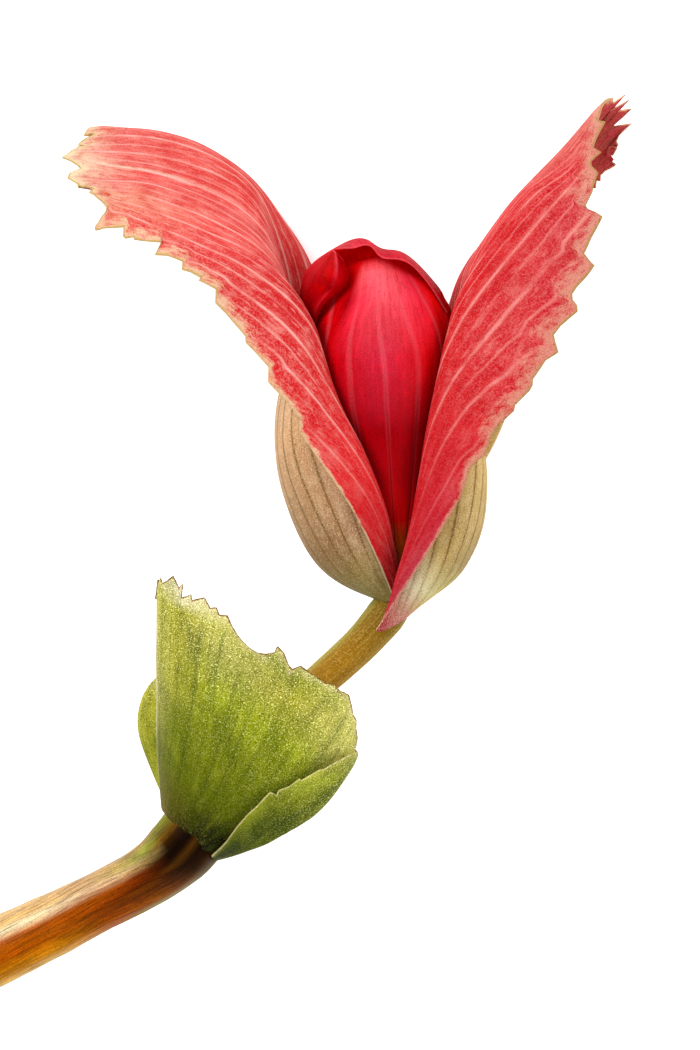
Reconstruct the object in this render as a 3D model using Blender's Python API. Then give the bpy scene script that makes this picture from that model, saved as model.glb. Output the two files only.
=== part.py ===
"""Begonia flower: one male flower just opening, cut with its stem and bracts, lying on its side.

Frame: metres, +Z up. The length runs along +Y, with the petal tips at +Y and the cut stem at -Y.
The origin is the middle of the bottom face of the bounding box, on the surface the flower lies on.

Every tepal, petal and bract is a thin sheet drawn through guide curves. A guide runs from the
sheet's base to its tip through points in millimetres, measured from the receptacle, where the
petals meet the flower stalk. The guides are keyed by their place across the sheet, from -1 at the
margin that faces up to +1 at the margin that faces down, with 0 at the midrib.
"""

import math

import bpy
import numpy as np

MM = 0.001

# Thickness of the living tissue, in millimetres. A margin is thinner than the middle of its sheet.
TEPAL_THICKNESS = 0.5
PETAL_THICKNESS = 0.38
BRACT_THICKNESS = 0.5
MARGIN_SHARE = 0.5
MARGIN_WIDTH = 0.15

# A margin's corners pull on the sheet over these shares of its width and of its length, and move
# it mostly level, because the sheets lie down.
MARGIN_DEPTH = 0.25
TIP_DEPTH = 0.12
LEVEL = np.array([1.0, 1.0, 0.25])

# An edge between faces that meet at more than this angle, in degrees, is a crease.
CREASE = 50

# Even rows along and columns across each sheet. A margin's corners add lines of their own.
GRID = {
    "bract_front": (15, 24),
    "bract_back": (11, 15),
    "outer_tepal_left": (20, 17),
    "outer_tepal_right": (20, 17),
    "inner_tepal_front": (16, 13),
    "inner_tepal_back": (20, 19),
    "inner_tepal_left": (12, 9),
    "inner_tepal_right": (12, 9),
}

# Even rings along each stalk, and the segments of a quarter of its round.
STALK_RINGS = 9
STEM_SEGMENTS = 6
PEDICEL_SEGMENTS = 4

# Outer tepals: a cup at the base, margins folded out like lapels, and a long tongue. The stations
# are the base, the cup, the cup's rim, the throat, the tongue and the tip, which needs two.
OUTER_STATIONS = [0.0, 0.2, 0.4, 0.6, 0.8, 0.9, 1.0]
OUTER_LEFT = {
    -1.00: [(-0.2, -1.2, 2.8), (-5.2, 9.6, 11.0), (-12.0, 19.7, 13.0), (-18.4, 29.9, 12.0),
            (-25.7, 39.4, 10.0), (-30.8, 43.0, 7.5), (-34.9, 46.4, 5.0)],
    -0.55: [(0.2, 0.0, 2.6), (-2.3, 10.7, 9.5), (-7.3, 22.6, 9.5), (-11.9, 34.9, 7.2),
            (-23.0, 43.2, 5.0), (-30.1, 46.1, 4.2), (-36.8, 48.1, 3.0)],
    -0.25: [(-1.2, -1.0, 2.0), (-7.3, 5.8, 7.5), (-12.7, 18.2, 8.0), (-11.9, 33.6, 5.4),
            (-21.1, 45.0, 2.5), (-29.5, 48.2, 1.8), (-38.0, 49.7, 1.0)],
    0.00: [(-2.4, -0.7, 0.0), (-10.3, 4.5, 0.0), (-14.6, 17.6, 0.0), (-12.6, 32.9, 3.0),
           (-19.6, 46.4, -1.0), (-28.8, 49.8, -0.6), (-38.9, 51.5, -1.0)],
    0.25: [(-1.3, -0.9, -2.0), (-7.3, 5.8, -7.5), (-13.1, 18.2, -8.4), (-13.2, 34.8, -3.0),
           (-19.8, 49.6, -3.6), (-29.0, 52.5, -2.4), (-38.6, 52.8, -2.0)],
    0.55: [(-0.2, 0.0, -2.8), (-2.3, 10.7, -9.5), (-7.3, 22.6, -9.9), (-10.6, 39.1, -8.4),
           (-20.9, 52.15, -7.0), (-28.8, 55.15, -5.0), (-37.0, 55.3, -3.0)],
    1.00: [(-0.6, -1.2, -2.8), (-5.2, 9.6, -11.0), (-12.0, 19.7, -12.8), (-16.3, 33.2, -12.8),
           (-20.5, 50.0, -12.0), (-27.8, 53.5, -10.0), (-35.3, 55.0, -8.0)],
}
OUTER_RIGHT = {
    -1.00: [(-2.5, -4.5, 4.8), (4.6, 6.5, 11.0), (11.8, 18.1, 13.0), (18.0, 30.2, 12.0),
            (22.2, 43.7, 9.0), (23.3, 50.6, 6.8), (24.7, 56.5, 4.0)],
    -0.55: [(-1.3, -4.3, 4.4), (2.0, 7.7, 9.5), (4.3, 22.2, 9.5), (7.6, 34.8, 7.0),
            (15.8, 47.0, 5.0), (21.2, 51.5, 4.4), (24.4, 57.1, 3.0)],
    -0.25: [(1.2, -2.7, 3.0), (6.4, 3.8, 7.5), (9.4, 15.6, 8.0), (7.9, 33.4, 5.0),
            (14.0, 46.4, 3.0), (20.3, 52.4, 2.6), (24.5, 58.1, 1.5)],
    0.00: [(2.2, -1.1, 0.4), (8.2, 3.5, 0.0), (10.6, 13.4, 0.0), (7.8, 32.9, 2.5),
           (12.85, 45.5, 0.0), (19.8, 52.9, 0.0), (25.0, 58.9, 0.0)],
    0.25: [(1.4, -1.2, -2.0), (6.4, 3.8, -7.5), (9.6, 15.6, -8.2), (7.9, 34.7, -3.0),
           (13.8, 46.1, -3.5), (20.3, 53.1, -2.6), (25.8, 58.8, -1.0)],
    0.55: [(1.0, -0.1, -3.0), (2.0, 7.7, -9.5), (4.3, 22.2, -9.9), (7.2, 36.5, -8.5),
           (15.6, 45.8, -7.0), (21.7, 52.1, -5.0), (26.6, 57.6, -2.0)],
    1.00: [(1.0, -1.7, -3.6), (4.6, 6.5, -11.0), (11.8, 18.1, -12.8), (15.8, 29.6, -12.8),
           (20.9, 44.0, -10.0), (24.0, 49.2, -7.5), (26.4, 53.3, -4.0)],
}

# Corners of the outer tepals' ragged margins, peaks and notches in turn: (place along the margin,
# reach outwards, shift along it), the last two in millimetres. "low" is the margin that faces up,
# "high" the one that faces down, and "tip" runs across the blunt tip from the low margin on.
LEFT_MARGINS = {
    "low": [(0.39, 0.0, 0.0), (0.41, -0.9, 0.0), (0.505, 0.1, 0.0), (0.53, -0.9, -0.1),
            (0.595, -0.2, 0.0), (0.605, -0.6, 0.0), (0.695, 0.2, 0.0), (0.715, -0.8, -0.1),
            (0.79, 0.6, 0.1), (0.8, -0.2, 0.0), (0.85, 1.2, 0.2), (0.86, -0.6, -0.5),
            (0.9, 1.2, 0.5), (0.92, 2.0, 1.2), (0.93, 0.9, 0.8), (0.945, 3.6, 3.9),
            (0.955, 5.9, 6.2), (0.97, 4.3, 4.9), (1.0, 0.0, 0.0)],
    "tip": [(-1.0, 0.0, 0.0), (-0.66, 0.0, 0.0), (-0.55, -0.7, 0.6), (-0.35, 1.2, -1.0),
            (-0.16, 1.7, -1.1), (-0.1, -0.7, 0.1), (0.07, 1.3, 0.1), (0.34, 0.0, -0.1),
            (0.375, -0.8, -0.4), (0.515, -1.0, -0.4), (0.6, -0.3, -1.5), (1.0, -0.5, -0.7)],
}
RIGHT_MARGINS = {
    "low": [(0.19, 0.0, 0.0), (0.335, -1.1, 0.0), (0.365, -0.4, 0.0), (0.42, -0.9, 0.0),
            (0.51, 0.5, 0.0), (0.525, 0.2, 0.0), (0.585, 1.6, 0.1), (0.61, 0.3, 0.0),
            (0.66, 2.0, 0.3), (0.685, 0.7, 0.1), (0.74, 2.4, 0.6), (0.755, 0.8, 0.2),
            (0.82, 2.2, 0.8), (0.835, -0.2, -0.1), (0.895, 0.7, 0.1), (0.91, -0.4, 0.0),
            (0.935, 0.5, 0.0), (0.945, -0.6, 0.0), (1.0, 0.2, 0.0)],
    "high": [(0.93, 0.0, 0.0), (0.96, 1.5, 1.3), (0.97, -1.7, -1.8), (0.98, 0.0, 0.0)],
    "tip": [(-0.685, -0.9, 0.8), (-0.33, 0.0, 0.0), (0.285, 0.0, 0.0), (0.34, 1.7, 0.1),
            (0.405, -0.9, -0.2), (0.435, 1.8, 0.5), (0.51, 0.0, 0.0), (0.545, 2.0, 1.1),
            (0.65, -0.2, -0.2), (0.755, -1.5, -1.2), (0.77, 2.8, 1.7), (0.85, 0.2, 0.2),
            (0.98, -1.6, -1.5)],
}

# Inner petals: the crimson bud. The front petal is a long shield.
PETAL_STATIONS = [0.0, 0.2, 0.4, 0.6, 0.8, 1.0]
INNER_FRONT = {
    -1.00: [(-1.2, 0.5, 0.7), (-5.0, 8.6, 1.0), (-8.8, 18.2, 1.1), (-10.0, 27.6, 1.2),
            (-7.9, 33.6, 3.8), (-5.4, 39.0, 3.4)],
    -0.50: [(-0.8, 0.5, 1.7), (-3.6, 8.6, 5.2), (-6.6, 18.2, 6.6), (-8.0, 27.6, 7.2),
            (-5.3, 34.8, 7.9), (-4.2, 39.6, 4.7)],
    0.00: [(0.0, 0.5, 2.1), (-0.4, 8.6, 6.8), (-1.0, 18.2, 9.2), (-1.6, 27.8, 10.0),
           (-1.7, 35.0, 9.4), (-1.9, 40.0, 4.8)],
    0.50: [(0.8, 0.5, 1.7), (2.2, 8.6, 5.2), (3.8, 18.2, 6.6), (4.6, 28.4, 6.8), (3.2, 35.0, 6.2),
           (0.9, 38.7, 3.8)],
    1.00: [(1.2, 0.5, 0.7), (3.0, 8.6, 2.4), (5.2, 18.2, 1.6), (5.9, 27.8, 0.8), (4.4, 34.1, 1.4),
           (2.2, 37.4, 1.6)],
}

# The back petal wraps the bud from behind and rolls over its top like a hood, so its last stations
# lie close. Its guide at -0.85 is the crest of the flap that folds over on the left.
HOOD_STATIONS = [0.0, 0.25, 0.5, 0.75, 0.9, 1.0]
INNER_BACK = {
    -1.00: [(-1.7, 0.6, -0.7), (-5.0, 11.0, -0.3), (-9.9, 23.0, 0.0), (-9.3, 33.9, 4.4),
            (-6.1, 37.1, 5.9), (-6.5, 39.7, 6.3)],
    -0.85: [(-1.7, 0.6, -1.0), (-5.4, 11.0, -0.9), (-10.6, 22.9, -0.9), (-9.7, 33.6, 5.2),
            (-7.3, 37.7, 8.0), (-7.5, 40.7, 8.3)],
    -0.70: [(-1.6, 0.6, -1.2), (-5.6, 11.0, -1.7), (-10.9, 22.8, -2.2), (-11.5, 34.1, -0.2),
            (-10.3, 38.1, 2.6), (-7.7, 41.0, 6.6)],
    -0.35: [(-0.8, 0.6, -1.9), (-3.6, 10.7, -5.0), (-6.5, 22.4, -7.3), (-8.4, 35.0, -7.0),
            (-7.1, 41.3, 2.0), (-5.3, 41.1, 7.7)],
    0.00: [(0.0, 0.6, -2.3), (-0.4, 10.4, -6.6), (-1.1, 22.4, -9.4), (-2.4, 35.3, -9.6),
           (-3.8, 41.9, 2.5), (-3.1, 41.3, 8.2)],
    0.18: [(0.45, 0.6, -2.1), (1.3, 10.5, -6.1), (1.8, 22.4, -8.8), (0.6, 35.3, -8.8),
           (-1.8, 40.9, 2.4), (-1.8, 40.0, 7.9)],
    0.35: [(0.8, 0.6, -1.9), (2.8, 10.7, -5.0), (4.2, 22.4, -7.3), (3.2, 35.0, -7.2),
           (0.4, 40.5, 2.0), (0.4, 39.7, 7.5)],
    0.70: [(1.3, 0.6, -1.0), (4.4, 11.0, -1.4), (7.1, 23.0, -1.8), (6.0, 34.1, -1.0),
           (4.1, 37.2, 1.0), (3.6, 37.0, 5.8)],
    1.00: [(1.3, 0.6, -0.5), (4.6, 11.3, 0.0), (7.2, 23.6, 0.8), (6.1, 32.8, 1.8), (5.6, 34.6, 2.8),
           (6.0, 33.4, 3.6)],
}
INNER_LEFT = {
    -1.00: [(-0.6, 1.4, 1.0), (-2.6, 11.0, 3.0), (-4.8, 20.6, 3.7), (-6.2, 30.2, 3.9),
            (-5.8, 35.8, 3.4), (-5.6, 38.6, 2.2)],
    -0.50: [(-0.9, 1.4, 0.6), (-3.7, 11.0, 1.2), (-6.2, 20.6, 1.6), (-8.0, 30.2, 1.8),
            (-7.6, 35.2, 2.0), (-6.6, 38.6, 1.6)],
    0.00: [(-1.0, 1.4, 0.0), (-3.8, 11.0, -0.6), (-6.8, 20.6, -0.8), (-8.9, 30.2, -0.6),
           (-9.0, 35.0, -0.2), (-7.4, 38.2, 0.2)],
    0.50: [(-1.0, 1.4, -0.8), (-3.5, 11.0, -3.0), (-5.5, 20.6, -4.2), (-7.1, 30.2, -4.4),
           (-7.3, 35.0, -3.7), (-6.1, 38.2, -1.6)],
    1.00: [(-0.6, 1.4, -1.2), (-2.2, 11.0, -4.0), (-3.6, 20.6, -5.8), (-4.6, 30.2, -6.4),
           (-4.6, 35.0, -5.4), (-3.6, 37.9, -3.4)],
}
INNER_RIGHT = {
    -1.00: [(0.7, 1.4, 1.0), (1.9, 11.0, 2.8), (2.6, 20.6, 3.6), (3.1, 30.2, 3.6), (2.4, 34.6, 3.0),
            (1.2, 36.7, 2.0)],
    -0.50: [(0.8, 1.4, 0.6), (2.5, 11.0, 1.2), (3.7, 20.6, 1.6), (3.8, 30.2, 1.6), (2.6, 34.6, 1.4),
            (1.4, 37.3, 1.0)],
    0.00: [(1.0, 1.4, 0.0), (2.8, 11.0, -0.6), (4.2, 20.6, -0.6), (4.6, 29.6, -0.6),
           (3.2, 34.6, -0.4), (1.6, 37.6, -0.4)],
    0.50: [(0.8, 1.4, -0.8), (2.4, 11.0, -2.4), (3.7, 20.6, -4.0), (4.1, 29.6, -4.4),
           (3.1, 34.6, -3.8), (0.7, 37.8, -1.8)],
    1.00: [(0.7, 1.4, -1.2), (1.3, 11.0, -3.8), (1.7, 20.6, -5.4), (1.7, 29.6, -6.2),
           (0.7, 34.6, -5.2), (-1.0, 38.0, -2.8)],
}

# Bracts: two leafy scales that clasp the stem where the stalk leaves it. Across the front bract, 0
# is the edge turned back behind it, 1.0 its lower fold and 1.2 the margin folded over its face.
BRACT_STATIONS = [0.0, 0.25, 0.5, 0.75, 1.0]
BRACT_FRONT = {
    0.00: [(-27.4, -26.2, -4.0), (-27.2, -19.2, -3.8), (-27.2, -13.2, -3.6), (-27.4, -8.2, -2.6),
           (-27.4, -4.6, -2.0)],
    0.12: [(-28.1, -25.9, -1.5), (-28.6, -19.4, -0.5), (-28.8, -13.0, 0.0), (-28.8, -6.4, 0.5),
           (-28.5, 1.6, 1.0)],
    0.25: [(-27.6, -26.7, 1.4), (-27.0, -19.2, 3.2), (-26.5, -12.5, 3.6), (-26.2, -5.8, 3.2),
           (-25.8, 0.0, 2.6)],
    0.45: [(-26.2, -28.1, 3.2), (-24.0, -22.0, 5.6), (-22.3, -15.1, 6.2), (-21.1, -8.6, 5.4),
           (-19.9, -3.6, 4.2)],
    0.65: [(-24.6, -29.5, 3.6), (-20.4, -24.4, 6.2), (-17.2, -18.4, 6.8), (-14.8, -13.0, 6.0),
           (-13.0, -9.1, 4.6)],
    0.82: [(-23.2, -30.8, 3.0), (-17.8, -27.4, 5.6), (-13.0, -22.6, 6.2), (-9.1, -17.2, 5.6),
           (-6.0, -12.6, 4.6)],
    1.00: [(-22.1, -32.0, 0.9), (-18.1, -30.8, 2.6), (-13.0, -28.5, 3.2), (-8.2, -24.5, 3.2),
           (-4.9, -18.7, 3.2)],
    1.20: [(-22.2, -31.6, 3.9), (-19.0, -28.2, 6.6), (-13.9, -23.9, 7.6), (-8.8, -21.1, 7.4),
           (-5.2, -19.3, 5.6)],
}
BRACT_MARGINS = {
    "tip": [(0.12, -1.5, -1.0), (0.15, -0.2, -0.1), (0.17, -0.8, -0.3), (0.215, 1.0, -0.3),
            (0.255, -0.7, -0.2), (0.29, 0.3, 0.0), (0.335, 0.8, 0.3), (0.39, 0.4, 0.0),
            (0.455, -0.3, -0.1), (0.505, -1.0, -0.4), (0.56, -0.9, -0.3), (0.6, 1.4, 0.0),
            (0.645, 0.3, 0.0), (0.675, 0.9, 0.0), (0.745, 0.1, 0.0), (0.82, 0.2, 0.0),
            (0.88, -0.4, -0.3), (0.955, 0.3, 0.3), (1.01, -0.5, -0.5), (1.05, 0.0, 0.0)],
}
BRACT_BACK = {
    0.00: [(-27.0, -27.4, -5.6), (-27.6, -21.8, -5.1), (-27.8, -17.2, -5.1), (-27.8, -13.5, -5.2),
           (-27.6, -11.0, -5.6)],
    0.15: [(-26.4, -28.0, -6.2), (-29.1, -22.0, -6.4), (-30.8, -17.0, -6.6), (-30.5, -13.3, -6.8),
           (-29.0, -10.6, -7.0)],
    0.35: [(-25.6, -28.8, -6.7), (-27.6, -22.8, -8.2), (-27.6, -18.0, -8.8), (-26.9, -13.4, -8.8),
           (-25.7, -10.1, -8.4)],
    0.60: [(-24.1, -30.0, -6.5), (-23.2, -25.0, -9.4), (-21.1, -20.2, -10.2), (-19.4, -15.6, -10.0),
           (-18.0, -12.2, -9.2)],
    0.80: [(-22.6, -31.2, -5.6), (-19.0, -27.6, -8.6), (-15.1, -23.8, -9.2), (-11.8, -19.7, -8.8),
           (-9.4, -16.3, -7.8)],
    1.00: [(-21.5, -31.9, -4.0), (-18.2, -30.0, -5.4), (-13.9, -27.1, -5.6), (-9.8, -23.0, -5.4),
           (-6.8, -19.0, -5.0)],
}
BACK_MARGINS = {
    "tip": [(0.1, 0.0, 0.0), (0.16, 0.6, 0.0), (0.19, -0.2, 0.0), (0.28, 0.5, 0.1),
            (0.31, 0.0, 0.0), (0.38, 0.8, 0.2), (0.42, 0.0, 0.0), (0.56, 0.8, 0.2),
            (0.6, -0.1, 0.0), (0.74, 0.9, 0.2), (0.78, 0.0, 0.0), (0.9, 0.6, 0.0),
            (0.94, 0.0, 0.0)],
}

# Stalks: centre line and radius, in millimetres. The stem slopes down to its cut end, which rests
# on the surface; the flower stalk narrows into the receptacle that the petals stand around.
STEM_ROUTE = [
    (-53.2, -45.8, -9.1, 4.1), (-46.1, -42.3, -7.9, 3.95), (-40.6, -39.65, -6.4, 3.75),
    (-35.8, -37.2, -5.0, 3.5), (-31.4, -34.95, -3.7, 3.6), (-28.6, -33.15, -2.9, 3.8),
    (-26.4, -31.2, -2.2, 4.15), (-24.8, -29.4, -1.7, 4.2), (-24.1, -28.4, -1.5, 3.7),
]
STALK_ROUTE = [
    (-23.6, -27.8, -1.5, 2.7), (-19.2, -21.8, -1.0, 2.4), (-14.0, -15.3, -0.5, 2.2),
    (-9.4, -10.8, -0.2, 2.1), (-7.3, -8.9, -0.1, 2.15), (-5.0, -6.8, 0.0, 2.2),
    (-2.9, -4.6, 0.0, 2.25), (-1.5, -2.9, 0.0, 2.2), (-1.1, -2.4, 0.0, 2.1),
    (-0.9, -2.1, 0.0, 1.5), (-0.7, -1.7, 0.0, 0.8), (-0.2, -0.6, 0.0, 0.75), (0.0, 0.5, 0.0, 0.65),
]

# Stamens: a short column that carries a ball of anthers, upright on the receptacle.
STAMEN_FOOT = (0.0, 1.3, 0.0)
STAMEN_LEAN = -0.05
STAMEN_OUTLINE = [(0.0, 0.45), (3.0, 0.5), (6.0, 0.7), (8.5, 1.1), (10.5, 1.8), (12.5, 2.0),
                  (14.3, 1.5), (15.4, 0.6)]
ANTHER_RINGS = 7
ANTHERS_ROUND = 8
ANTHER_SWELL = 0.16

COLOURS = {
    "main_stem": ("#A85F22", 0.45),
    "bract_front": ("#9DAE4C", 0.5),
    "bract_back": ("#93A545", 0.5),
    "pedicel": ("#9A963E", 0.45),
    "outer_tepal_left": ("#EC4E57", 0.5),
    "outer_tepal_right": ("#E5404D", 0.5),
    "inner_tepal_front": ("#C9102F", 0.45),
    "inner_tepal_back": ("#B80E2B", 0.45),
    "inner_tepal_left": ("#8E0A20", 0.45),
    "inner_tepal_right": ("#86081E", 0.45),
    "stamens": ("#E2B93A", 0.6),
}


def clear_scene():
    """Remove whatever the file opened with."""
    for item in list(bpy.data.objects):
        bpy.data.objects.remove(item, do_unlink=True)


def linear(hex_colour):
    """sRGB hex to the linear RGBA that a shader takes."""
    parts = [int(hex_colour[i:i + 2], 16) / 255 for i in (1, 3, 5)]
    return [v / 12.92 if v <= 0.04045 else ((v + 0.055) / 1.055) ** 2.4 for v in parts] + [1.0]


def material_for(name):
    """The piece's own material: plant tissue, moist but not glossy."""
    colour, roughness = COLOURS[name]
    material = bpy.data.materials.new(name)
    material.use_nodes = True
    shader = material.node_tree.nodes["Principled BSDF"]
    shader.inputs["Base Color"].default_value = linear(colour)
    shader.inputs["Roughness"].default_value = roughness
    shader.inputs["Metallic"].default_value = 0.0
    return material


def spline(knots, points, at):
    """Smooth curve through points at knots: a cubic on each stretch, with weighted mean slopes."""
    knots, points = np.asarray(knots, float), np.asarray(points, float)
    at = np.atleast_1d(np.asarray(at, float))
    shape = (-1,) + (1,) * (points.ndim - 1)
    step = np.diff(knots)
    slope = np.diff(points, axis=0) / step.reshape(shape)
    share = (step[:-1] / (step[:-1] + step[1:])).reshape(shape)
    tangent = np.empty_like(points)
    tangent[1:-1] = slope[:-1] * (1 - share) + slope[1:] * share
    tangent[0] = 1.5 * slope[0] - 0.5 * tangent[1]
    tangent[-1] = 1.5 * slope[-1] - 0.5 * tangent[-2]
    piece = np.clip(np.searchsorted(knots, at, side="right") - 1, 0, len(knots) - 2)
    s = ((at - knots[piece]) / step[piece]).reshape(shape)
    length = step[piece].reshape(shape)
    return ((2 * s**3 - 3 * s**2 + 1) * points[piece]
            + (s**3 - 2 * s**2 + s) * length * tangent[piece]
            + (3 * s**2 - 2 * s**3) * points[piece + 1]
            + (s**3 - s**2) * length * tangent[piece + 1])


def surface(guides, stations, along, across):
    """Points [along][across] of the sheet: splines along the guides, then splines across them."""
    places = sorted(guides)
    net = np.array([guides[place] for place in places], float)
    lengthwise = spline(stations, net.swapaxes(0, 1), along)
    return spline(places, lengthwise.swapaxes(0, 1), across).swapaxes(0, 1)


def unit(vectors):
    """The vectors at length 1."""
    return vectors / np.linalg.norm(vectors, axis=-1, keepdims=True)


def lines(low, high, count, corners):
    """Even places from low to high, where those next to a margin's corner give way to it."""
    even = np.linspace(low, high, count)
    fixed = np.array([corner[0] for corner in corners if low < corner[0] < high])
    if len(fixed):
        gap = np.abs(even[:, None] - fixed[None, :]).min(axis=1)
        keep = gap > 0.4 * (high - low) / (count - 1)
        keep[[0, -1]] = True
        even = even[keep]
    return np.unique(np.concatenate([even, fixed]))


def with_margins(points, along, across, margins):
    """Moves the margins to their corners: each point of a margin goes out by the corner table's
    reach and along by its shift, and the sheet inside follows with a pull that falls off as the
    square of the distance."""
    for key, corners in margins.items():
        if key == "tip":
            rim, inner, places = points[-1], points[-2], across
            pull = np.clip(1 - (1 - along) / TIP_DEPTH, 0, 1)[:, None] ** 2
        else:
            edge, inside, end = (0, 1, across[0]) if key == "low" else (-1, -2, across[-1])
            rim, inner, places = points[:, edge], points[:, inside], along
            pull = np.clip(1 - np.abs(across - end) / MARGIN_DEPTH, 0, 1)[None, :] ** 2
        way = unit((rim - inner) * LEVEL)
        run = unit(np.gradient(rim, axis=0) * LEVEL)
        place, reaches, shifts = np.array(corners).T
        reach = np.interp(places, place, reaches, left=0, right=0)[:, None]
        shift = np.interp(places, place, shifts, left=0, right=0)[:, None]
        move = reach * way + shift * run
        move = move[None, :] if key == "tip" else move[:, None]
        points = points + pull[..., None] * move
    return points


def add_sheet(name, guides, stations, margins, thickness, flower):
    """A closed thin body round the sheet through the guides, thinner at its margins."""
    side_corners = margins.get("low", []) + margins.get("high", [])
    along = lines(0.0, 1.0, GRID[name][0], side_corners)
    across = lines(min(guides), max(guides), GRID[name][1], margins.get("tip", []))
    points = with_margins(surface(guides, stations, along, across), along, across, margins)
    rows, columns = points.shape[:2]
    corner = np.arange(rows * columns).reshape(rows, columns)
    faces = np.stack([corner[:-1, :-1], corner[1:, :-1], corner[1:, 1:], corner[:-1, 1:]], axis=-1)
    mesh = bpy.data.meshes.new(name)
    mesh.from_pydata((points.reshape(-1, 3) * MM).tolist(), [], faces.reshape(-1, 4).tolist())
    body = bpy.data.objects.new(name, mesh)
    bpy.context.collection.objects.link(body)
    body.parent = flower
    body.data.materials.append(material_for(name))

    middle = body.vertex_groups.new(name="middle")
    side = np.minimum(np.linspace(0, 1, columns), np.linspace(1, 0, columns))[None, :]
    end = np.linspace(1, 0, rows)[:, None]
    weight = np.clip(np.minimum(side, end) / MARGIN_WIDTH, 0, 1).ravel()
    for index, value in enumerate(weight):
        middle.add([index], float(value), "REPLACE")
    wall = body.modifiers.new("wall", "SOLIDIFY")
    wall.thickness = thickness * MM
    wall.offset = 0.0
    wall.vertex_group = middle.name
    wall.thickness_vertex_group = MARGIN_SHARE
    mesh.shade_smooth()
    mesh.set_sharp_from_angle(angle=math.radians(CREASE))
    return body


def add_stalk(name, route, segments, flower):
    """A round stalk: a curve along the route with its own radius at each point, ends filled."""
    route = np.array(route)
    gaps = np.linalg.norm(np.diff(route[:, :3], axis=0), axis=1)
    travelled = np.concatenate([[0.0], np.cumsum(gaps)])
    places = np.union1d(np.linspace(0, travelled[-1], STALK_RINGS), travelled)
    line = spline(travelled, route, places)
    line[:, 3] = np.interp(places, travelled, route[:, 3])
    curve = bpy.data.curves.new(name, "CURVE")
    curve.dimensions = "3D"
    curve.bevel_depth = MM
    curve.bevel_resolution = segments
    curve.use_fill_caps = True
    path = curve.splines.new("POLY")
    path.points.add(len(line) - 1)
    for point, (x, y, z, radius) in zip(path.points, line):
        point.co = (x * MM, y * MM, z * MM, 1.0)
        point.radius = radius
    stalk = bpy.data.objects.new(name, curve)
    bpy.context.collection.objects.link(stalk)
    stalk.parent = flower
    stalk.data.materials.append(material_for(name))
    return stalk


def add_stamens(name, flower):
    """One lobed body: a turned outline whose radius swells at each anther."""
    heights, radii = np.array(STAMEN_OUTLINE).T
    levels = np.linspace(heights[0], heights[-1], 2 * ANTHER_RINGS + 3)
    turns = np.linspace(0, 2 * math.pi, 2 * ANTHERS_ROUND, endpoint=False)
    radius = spline(heights, radii, levels)[:, None]
    lobes = np.cos(ANTHERS_ROUND * turns)[None, :] * np.where(np.arange(len(levels)) % 2, 1, -1)[:, None]
    bulge = np.clip((levels - heights[3]) / 2, 0, 1)[:, None] * ANTHER_SWELL
    radius = radius * (1 + bulge * lobes)
    middle = STAMEN_FOOT[0] + STAMEN_LEAN * levels[:, None]
    x = middle + radius * np.cos(turns)
    z = STAMEN_FOOT[2] - radius * np.sin(turns)
    y = STAMEN_FOOT[1] + np.repeat(levels[:, None], len(turns), axis=1)
    ring = np.stack([x, y, z], axis=-1).reshape(-1, 3)
    poles = [(middle[0, 0], y[0, 0], STAMEN_FOOT[2]), (middle[-1, 0], y[-1, 0] + 0.3, STAMEN_FOOT[2])]
    count = len(turns)
    faces = []
    for level in range(len(levels) - 1):
        for turn in range(count):
            here, there = level * count + turn, level * count + (turn + 1) % count
            faces.append((here, there, there + count, here + count))
    bottom, top = len(ring), len(ring) + 1
    last = (len(levels) - 1) * count
    for turn in range(count):
        following = (turn + 1) % count
        faces.append((bottom, following, turn))
        faces.append((top, last + turn, last + following))
    mesh = bpy.data.meshes.new(name)
    mesh.from_pydata((np.vstack([ring, poles]) * MM).tolist(), [], faces)
    mesh.shade_smooth()
    body = bpy.data.objects.new(name, mesh)
    bpy.context.collection.objects.link(body)
    body.parent = flower
    body.data.materials.append(material_for(name))
    return body


def settle(flower):
    """Move the flower so that the origin is the middle of the bottom of its bounding box."""
    bpy.context.view_layer.update()
    graph = bpy.context.evaluated_depsgraph_get()
    low, high = np.full(3, np.inf), np.full(3, -np.inf)
    for piece in flower.children:
        solid = piece.evaluated_get(graph)
        mesh = solid.to_mesh()
        corners = np.empty(len(mesh.vertices) * 3, dtype=np.float32)
        mesh.vertices.foreach_get("co", corners)
        corners = corners.reshape(-1, 3)
        low, high = np.minimum(low, corners.min(axis=0)), np.maximum(high, corners.max(axis=0))
        solid.to_mesh_clear()
    flower.location = (-(low[0] + high[0]) / 2, -(low[1] + high[1]) / 2, -low[2])


def main():
    clear_scene()
    flower = bpy.data.objects.new("flower", None)
    bpy.context.collection.objects.link(flower)
    add_stalk("main_stem", STEM_ROUTE, STEM_SEGMENTS, flower)
    add_stalk("pedicel", STALK_ROUTE, PEDICEL_SEGMENTS, flower)
    add_sheet("bract_front", BRACT_FRONT, BRACT_STATIONS, BRACT_MARGINS, BRACT_THICKNESS, flower)
    add_sheet("bract_back", BRACT_BACK, BRACT_STATIONS, BACK_MARGINS, BRACT_THICKNESS, flower)
    add_sheet("outer_tepal_left", OUTER_LEFT, OUTER_STATIONS, LEFT_MARGINS, TEPAL_THICKNESS, flower)
    add_sheet("outer_tepal_right", OUTER_RIGHT, OUTER_STATIONS, RIGHT_MARGINS, TEPAL_THICKNESS, flower)
    petal = (PETAL_STATIONS, {}, PETAL_THICKNESS, flower)
    add_sheet("inner_tepal_front", INNER_FRONT, *petal)
    add_sheet("inner_tepal_back", INNER_BACK, HOOD_STATIONS, {}, PETAL_THICKNESS, flower)
    add_sheet("inner_tepal_left", INNER_LEFT, *petal)
    add_sheet("inner_tepal_right", INNER_RIGHT, *petal)
    add_stamens("stamens", flower)
    settle(flower)


if __name__ == "__main__":
    main()
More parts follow.
